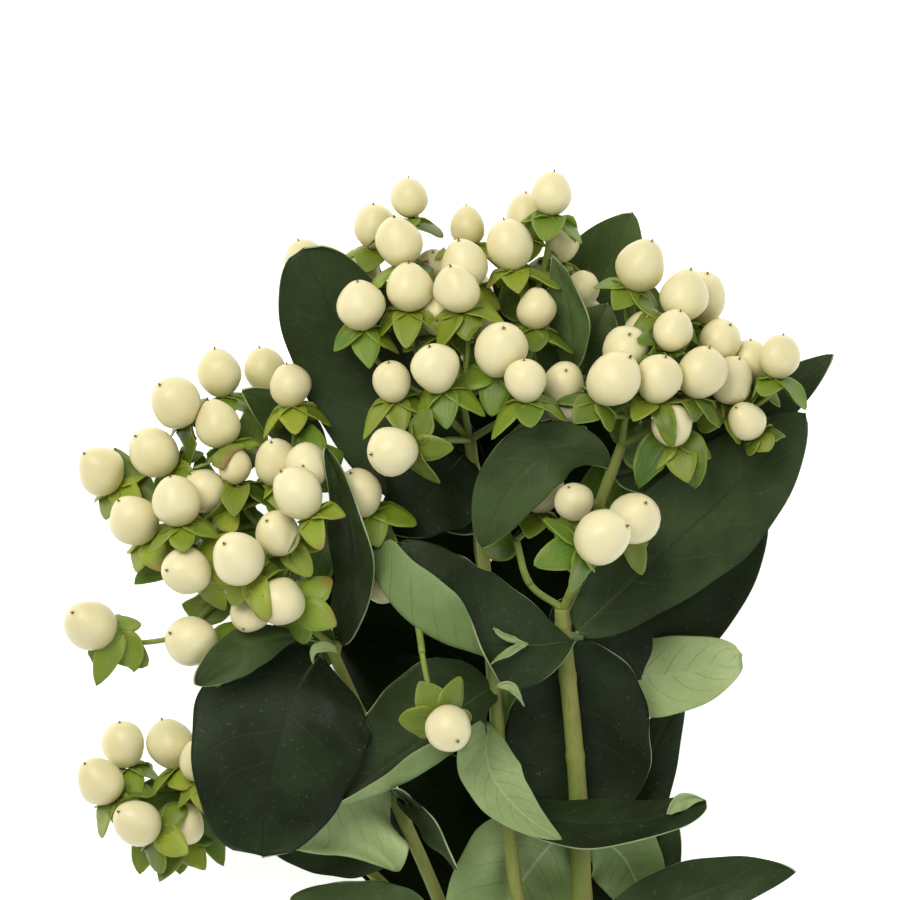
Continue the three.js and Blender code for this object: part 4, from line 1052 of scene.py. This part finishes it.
def vein_group():
    """Midrib and side veins of a blade, from its own map: u across and v along."""
    group, given, result = new_group("blade_veins", {"Pairs": 7.0, "Width": 0.07}, ["Midrib", "Veins", "Foot"])
    x, y = uv_place(group)
    across = sum_node(group, "SUBTRACT", sum_node(group, "MULTIPLY", x, 2.0), 1.0)
    off = sum_node(group, "ABSOLUTE", across)
    bow = sum_node(group, "ADD", sum_node(group, "MULTIPLY", off, 0.10),
                   sum_node(group, "MULTIPLY", sum_node(group, "MULTIPLY", off, off), 0.14))
    phase = sum_node(group, "MULTIPLY", sum_node(group, "SUBTRACT", y, bow), given.outputs["Pairs"])
    shift = sum_node(group, "MULTIPLY", sum_node(group, "GREATER_THAN", across, 0.0), 0.35)
    wobble = sum_node(group, "MULTIPLY", noise(group, object_place(group), 90.0, 1), 0.5)
    turned = sum_node(group, "ADD", sum_node(group, "ADD", phase, shift), sum_node(group, "SUBTRACT", wobble, 0.25))
    saw = sum_node(group, "PINGPONG", turned, 0.5)
    line = spread(group, saw, 0.0, given.outputs["Width"], 1.0, 0.0)
    fade = spread(group, off, 0.55, 0.95, 1.0, 0.0)
    group.links.new(sum_node(group, "MULTIPLY", line, fade), result.inputs["Veins"])
    group.links.new(spread(group, off, 0.01, 0.035, 1.0, 0.0), result.inputs["Midrib"])
    group.links.new(y, result.inputs["Foot"])
    return group


def mottle_group():
    """Soft uneven patches with a finer grain in them."""
    group, given, result = new_group("mottle", {"Patch": 60.0, "Grain": 900.0}, ["Patches", "Grain"])
    place = object_place(group)
    patches = spread(group, noise(group, place, given.outputs["Patch"], 3), 0.35, 0.68)
    group.links.new(patches, result.inputs["Patches"])
    group.links.new(noise(group, place, given.outputs["Grain"], 2), result.inputs["Grain"])
    return group


def network_group():
    """The fine net of veins that shows on the pale side of a leaf."""
    group, given, result = new_group("vein_net", {"Cells": 420.0}, ["Net"])
    place = object_place(group)
    node = group.nodes.new("ShaderNodeTexVoronoi")
    node.feature = "DISTANCE_TO_EDGE"
    group.links.new(place, node.inputs["Vector"])
    group.links.new(given.outputs["Cells"], node.inputs["Scale"])
    group.links.new(spread(group, node.outputs["Distance"], 0.02, 0.16, 1.0, 0.0), result.inputs["Net"])
    return group


def new_material(name, roughness=0.5, specular=0.5):
    material = bpy.data.materials.new(name)
    material.use_nodes = True
    tree = material.node_tree
    shader = tree.nodes["Principled BSDF"]
    shader.inputs["Roughness"].default_value = roughness
    shader.inputs["Specular IOR Level"].default_value = specular
    return material, tree, shader


def set_bump(tree, shader, height, distance, strength=1.0):
    bump = tree.nodes.new("ShaderNodeBump")
    bump.inputs["Strength"].default_value = strength
    bump.inputs["Distance"].default_value = distance
    tree.links.new(height, bump.inputs["Height"])
    tree.links.new(bump.outputs["Normal"], shader.inputs["Normal"])


def leaf_top_material(groups, name, specular, shade):
    """Dark and satin: along the midrib a fine line, pale near the foot and further up painted shade in its sunk
    groove, faint veins and pale specks. The leaves at the back are darker and duller: their colour is mixed towards
    near black as painted shade."""
    material, tree, shader = new_material(name, 0.5, specular)
    mottle = use_group(tree, groups["mottle"], Patch=55.0, Grain=1400.0)
    veins = use_group(tree, groups["veins"], Pairs=7.0, Width=0.09)
    tone = marked(tree, "tone")
    # The tone is partly each leaf's own green and partly painted shade for leaves lying in shadow.
    dark = blend_colour(tree, tone, "141e09", "3f4f27")
    pale = blend_colour(tree, tone, "1e2c12", "506437")
    colour = blend_colour(tree, mottle["Patches"], dark, pale)
    vein = blend_colour(tree, tone, "2b3a22", "5f774c")
    colour = blend_colour(tree, sum_node(tree, "MULTIPLY", veins["Veins"], 0.16), colour, vein)
    # Along the midrib: its own pale green near the foot and, further up, the darkest green as painted shade in the
    # sunk groove.
    pale_rib_and_groove_shade = blend_colour(tree, spread(tree, veins["Foot"], 0.0, 0.35), "5c6f45", dark)
    colour = blend_colour(tree, sum_node(tree, "MULTIPLY", veins["Midrib"], 0.6), colour, pale_rib_and_groove_shade)
    specks = spread(tree, noise(tree, object_place(tree), 1100.0, 1), 0.66, 0.8, 0.0, 0.2)
    colour = blend_colour(tree, specks, colour, "71805f")
    # Painted shade: by the share shade, the colour is mixed towards near black.
    colour = blend_colour(tree, shade, colour, "050803")
    tree.links.new(colour, shader.inputs["Base Color"])
    rough = 0.44 + 0.4 * shade
    tree.links.new(spread(tree, mottle["Grain"], 0.2, 0.8, rough, rough + 0.16), shader.inputs["Roughness"])
    height = sum_node(tree, "SUBTRACT", sum_node(tree, "MULTIPLY", mottle["Grain"], 0.4), veins["Veins"])
    set_bump(tree, shader, height, 0.0001, 0.35)
    return material


def leaf_under_material(groups):
    """Pale and matt, with a raised midrib and darker veins."""
    material, tree, shader = new_material("leaf_pale_underside", 0.65, 0.2)
    mottle = use_group(tree, groups["mottle"], Patch=45.0, Grain=1600.0)
    veins = use_group(tree, groups["veins"], Pairs=9.0, Width=0.07)
    net = use_group(tree, groups["net"], Cells=520.0)
    tone = marked(tree, "tone")
    dark = blend_colour(tree, tone, "5b733f", "9fb176")
    pale = blend_colour(tree, tone, "6d8552", "b2c289")
    colour = blend_colour(tree, mottle["Patches"], dark, pale)
    line = blend_colour(tree, tone, "4c6535", "7d9458")
    colour = blend_colour(tree, sum_node(tree, "MULTIPLY", net["Net"], 0.13), colour, line)
    colour = blend_colour(tree, sum_node(tree, "MULTIPLY", veins["Veins"], 0.26), colour, line)
    colour = blend_colour(tree, sum_node(tree, "MULTIPLY", veins["Midrib"], 0.7), colour, "a8b98a")
    tree.links.new(colour, shader.inputs["Base Color"])
    tree.links.new(spread(tree, mottle["Grain"], 0.2, 0.8, 0.58, 0.72), shader.inputs["Roughness"])
    height = sum_node(tree, "SUBTRACT", mottle["Patches"], sum_node(tree, "MULTIPLY", veins["Veins"], 1.2))
    set_bump(tree, shader, height, 0.0002, 0.5)
    return material


def leaf_rim_material(groups):
    material, tree, shader = new_material("leaf_edge", 0.5, 0.3)
    mottle = use_group(tree, groups["mottle"], Patch=120.0, Grain=1400.0)
    tree.links.new(blend_colour(tree, mottle["Patches"], "7f9062", "a3ae82"), shader.inputs["Base Color"])
    return material


def sepal_material(groups, name, dark, light, blush):
    """A sepal's face: lengthwise veins, a paler edge, and on some of them a reddish tip."""
    material, tree, shader = new_material(name, 0.45, 0.4)
    mottle = use_group(tree, groups["mottle"], Patch=160.0, Grain=1500.0)
    x, y = uv_place(tree)
    off = sum_node(tree, "ABSOLUTE", sum_node(tree, "SUBTRACT", sum_node(tree, "MULTIPLY", x, 2.0), 1.0))
    stripe = sum_node(tree, "PINGPONG", sum_node(tree, "MULTIPLY", off, 3.5), 0.5)
    vein = spread(tree, stripe, 0.0, 0.22, 1.0, 0.0)
    tone = marked(tree, "tone")
    colour = blend_colour(tree, spread(tree, tone, 0.1, 0.9), dark, light)
    colour = blend_colour(tree, spread(tree, marked(tree, "fresh"), 0.3, 1.0, 0.0, 0.55), colour, "4d7a1b")
    colour = blend_colour(tree, sum_node(tree, "MULTIPLY", mottle["Patches"], 0.35), colour, "858c22")
    colour = blend_colour(tree, sum_node(tree, "MULTIPLY", vein, 0.09), colour, "8fa53c")
    edge = spread(tree, off, 0.8, 1.0)
    colour = blend_colour(tree, sum_node(tree, "MULTIPLY", edge, 0.3), colour, "a2ae4c")
    red = sum_node(tree, "MULTIPLY", spread(tree, tone, 0.66, 0.9), spread(tree, y, 0.35, 1.0))
    red = sum_node(tree, "MULTIPLY", red, sum_node(tree, "ADD", mottle["Patches"], edge, clamp=True))
    colour = blend_colour(tree, red, colour, blush)
    tree.links.new(colour, shader.inputs["Base Color"])
    shader.inputs["Subsurface Weight"].default_value = 0.12
    shader.inputs["Subsurface Radius"].default_value = (0.3, 1.0, 0.2)
    shader.inputs["Subsurface Scale"].default_value = 0.0008
    set_bump(tree, shader, sum_node(tree, "ADD", vein, mottle["Grain"]), 0.0001, 0.25)
    return material


def berry_material(groups):
    material, tree, shader = new_material("berry_skin", 0.36, 0.45)
    mottle = use_group(tree, groups["mottle"], Patch=140.0, Grain=2600.0)
    along = marked(tree, "along")
    tone = marked(tree, "tone")
    # The tone darkens the lower berries as painted shade, besides a random difference between berries.
    colour = blend_colour(tree, tone, "d5cc98", "e6deb1")
    colour = blend_colour(tree, sum_node(tree, "MULTIPLY", mottle["Patches"], 0.3), colour, "e9e2be")
    base = sum_node(tree, "MULTIPLY", spread(tree, along, 0.0, 0.45, 1.0, 0.0), 0.5)
    colour = blend_colour(tree, base, colour, "c2b876")
    colour = blend_colour(tree, spread(tree, along, 0.991, 0.9995, 0.0, 0.7), colour, "8d7540")
    tree.links.new(colour, shader.inputs["Base Color"])
    shader.inputs["Subsurface Weight"].default_value = 0.25
    shader.inputs["Subsurface Radius"].default_value = (1.0, 0.75, 0.4)
    shader.inputs["Subsurface Scale"].default_value = 0.002
    tree.links.new(spread(tree, mottle["Grain"], 0.2, 0.8, 0.33, 0.45), shader.inputs["Roughness"])
    set_bump(tree, shader, mottle["Grain"], 0.00004, 0.4)
    return material


def style_material(groups):
    material, tree, shader = new_material("dry_style", 0.7, 0.2)
    mottle = use_group(tree, groups["mottle"], Patch=900.0, Grain=3000.0)
    tree.links.new(blend_colour(tree, mottle["Patches"], "54401f", "7d6438"), shader.inputs["Base Color"])
    return material


def stalk_material(groups):
    material, tree, shader = new_material("berry_stalk", 0.5, 0.35)
    mottle = use_group(tree, groups["mottle"], Patch=80.0, Grain=1500.0)
    colour = blend_colour(tree, mottle["Patches"], "667a30", "86943f")
    colour = blend_colour(tree, spread(tree, mottle["Grain"], 0.55, 0.75, 0.0, 0.35), colour, "8c6a3c")
    tree.links.new(colour, shader.inputs["Base Color"])
    set_bump(tree, shader, mottle["Grain"], 0.0001, 0.5)
    return material


def bark_material(groups):
    """Green young shoots with a reddish flank, woody and brown towards the cut end."""
    material, tree, shader = new_material("stem_bark", 0.55, 0.3)
    mottle = use_group(tree, groups["mottle"], Patch=45.0, Grain=1200.0)
    x, y = uv_place(tree)
    place = object_place(tree)
    split = tree.nodes.new("ShaderNodeSeparateXYZ")
    tree.links.new(place, split.inputs[0])
    stretch = tree.nodes.new("ShaderNodeMapping")
    stretch.inputs["Scale"].default_value = (1.0, 0.06, 1.0)
    tree.links.new(place, stretch.inputs["Vector"])
    fibre = noise(tree, stretch.outputs[0], 1500.0, 4, 0.65)
    colour = blend_colour(tree, mottle["Patches"], "6c7a34", "8a9248")
    flank = spread(tree, sum_node(tree, "PINGPONG", sum_node(tree, "ADD", x, 0.1), 0.5), 0.3, 0.5)
    colour = blend_colour(tree, sum_node(tree, "MULTIPLY", flank, 0.22), colour, "8c6a3c")
    woody = spread(tree, split.outputs[1], -0.12, 0.01, 1.0, 0.0)
    brown = blend_colour(tree, mottle["Patches"], "76563a", "94714c")
    colour = blend_colour(tree, sum_node(tree, "MULTIPLY", woody, 0.85), colour, brown)
    colour = blend_colour(tree, spread(tree, fibre, 0.5, 0.75, 0.0, 0.4), colour, "5a4028")
    tree.links.new(colour, shader.inputs["Base Color"])
    set_bump(tree, shader, fibre, 0.00025, 0.7)
    return material


def cut_wood_material(groups):
    material, tree, shader = new_material("cut_wood", 0.75, 0.2)
    mottle = use_group(tree, groups["mottle"], Patch=300.0, Grain=2500.0)
    x, y = uv_place(tree)
    colour = blend_colour(tree, mottle["Patches"], "d8cc9c", "c3b27c")
    colour = blend_colour(tree, spread(tree, y, 0.75, 0.95), colour, "76563a")
    colour = blend_colour(tree, spread(tree, y, 0.22, 0.4, 1.0, 0.0), colour, "efe9d0")
    tree.links.new(colour, shader.inputs["Base Color"])
    set_bump(tree, shader, mottle["Grain"], 0.0002, 0.8)
    return material


def floor_material():
    material, tree, shader = new_material("pale_table", 0.85, 0.1)
    grain = noise(tree, object_place(tree), 6.0, 2)
    tree.links.new(blend_colour(tree, grain, "f8f8f7", "fbfbfa"), shader.inputs["Base Color"])
    shader.inputs["Emission Color"].default_value = linear("ffffff")
    shader.inputs["Emission Strength"].default_value = 0.65
    return material


def make_materials():
    groups = {"mottle": mottle_group(), "veins": vein_group(), "net": network_group()}
    return {
        "leaf_top": leaf_top_material(groups, "leaf_upper_face", 0.16, 0.0),
        "leaf_shaded": leaf_top_material(groups, "leaf_shaded_face", 0.02, 0.6),
        "leaf_under": leaf_under_material(groups),
        "leaf_rim": leaf_rim_material(groups),
        "sepal": sepal_material(groups, "sepal_face", "375210", "91a02e", "8a5a3a"),
        "sepal_under": sepal_material(groups, "sepal_back", "425e19", "93a238", "956242"),
        "berry": berry_material(groups),
        "style": style_material(groups),
        "stalk": stalk_material(groups),
        "bark": bark_material(groups),
        "cut_wood": cut_wood_material(groups),
    }


# ---------------------------------------------------------------- table, light and camera

VIEW_WIDE = 225.0  # width of the view, on the drawing
VIEW_CENTRE = np.array([0.0, 112.5, 55.0])
CAMERA_HEIGHT = 6.0  # metres above the stem, so that near and far berries keep their size


def make_camera():
    data = bpy.data.cameras.new("camera")
    data.sensor_width = 36
    data.lens = 36 * CAMERA_HEIGHT / (VIEW_WIDE * MM)
    data.clip_end = 100
    camera = bpy.data.objects.new("camera", data)
    camera.location = to_frame(VIEW_CENTRE) + np.array([0, 0, CAMERA_HEIGHT])
    bpy.context.scene.collection.objects.link(camera)
    bpy.context.scene.camera = camera


def make_lamp(name, place, aim, size, power, colour):
    data = bpy.data.lights.new(name, "AREA")
    data.shape = "DISK"
    data.size = size
    data.energy = power
    data.color = linear(colour)[:3]
    lamp = bpy.data.objects.new(name, data)
    lamp.location = place
    lamp.rotation_euler = (Vector(aim) - Vector(place)).to_track_quat("-Z", "Y").to_euler()
    lamp.visible_camera = False
    bpy.context.scene.collection.objects.link(lamp)


def make_stage():
    deselect()
    bpy.ops.mesh.primitive_plane_add(size=60)
    table = bpy.context.active_object
    table.name = "table_top"
    table.data.materials.append(floor_material())
    heart = (0.0, 0.1, 0.05)
    make_lamp("key_light", (-0.5, 0.75, 1.3), heart, 1.0, 17, "fffaf2")
    make_lamp("fill_light", (0.8, -0.5, 1.2), heart, 1.2, 6, "f2f6ff")
    world = bpy.data.worlds.new("soft_room")
    bpy.context.scene.world = world
    world.use_nodes = True
    world.node_tree.nodes["Background"].inputs["Color"].default_value = linear("f6f7f8")
    world.node_tree.nodes["Background"].inputs["Strength"].default_value = 0.45
    bpy.context.scene.view_settings.view_transform = "Standard"


# ---------------------------------------------------------------- the whole stem

def make_all():
    materials = make_materials()
    models = {"berry": model_berry(materials["berry"]), "styles": model_styles(materials["style"]),
              "sepal": model_sepal(materials["sepal"], materials["sepal_under"])}
    balls = [stem_balls()]
    surfaces = []
    for index, (name, spray) in enumerate(SPRAYS.items()):
        balls.append(spray_balls(spray, 1000 * index))
        make_spray(name, spray, 1000 * index, models, materials)
    for name, (rib, wide, own) in LEAVES.items():
        leaf = {**LEAF, **own, "rib": rib, "wide": wide}
        drawn, net = settled_net(leaf, np.vstack(balls))
        balls.append(sheet_balls(net))
        finer = {**leaf, **FINER.get(name, {})}
        surfaces.append(blade_surface(finer, drawn, net, BLADE_ALONG, BLADE_ACROSS))
        make_leaf(name, leaf, surfaces[-1], materials)
    make_curls(surfaces, materials)
    make_bracts(materials)
    make_stem(materials)
    for model in models.values():
        bpy.data.objects.remove(model)


make_camera()
make_stage()
make_all()
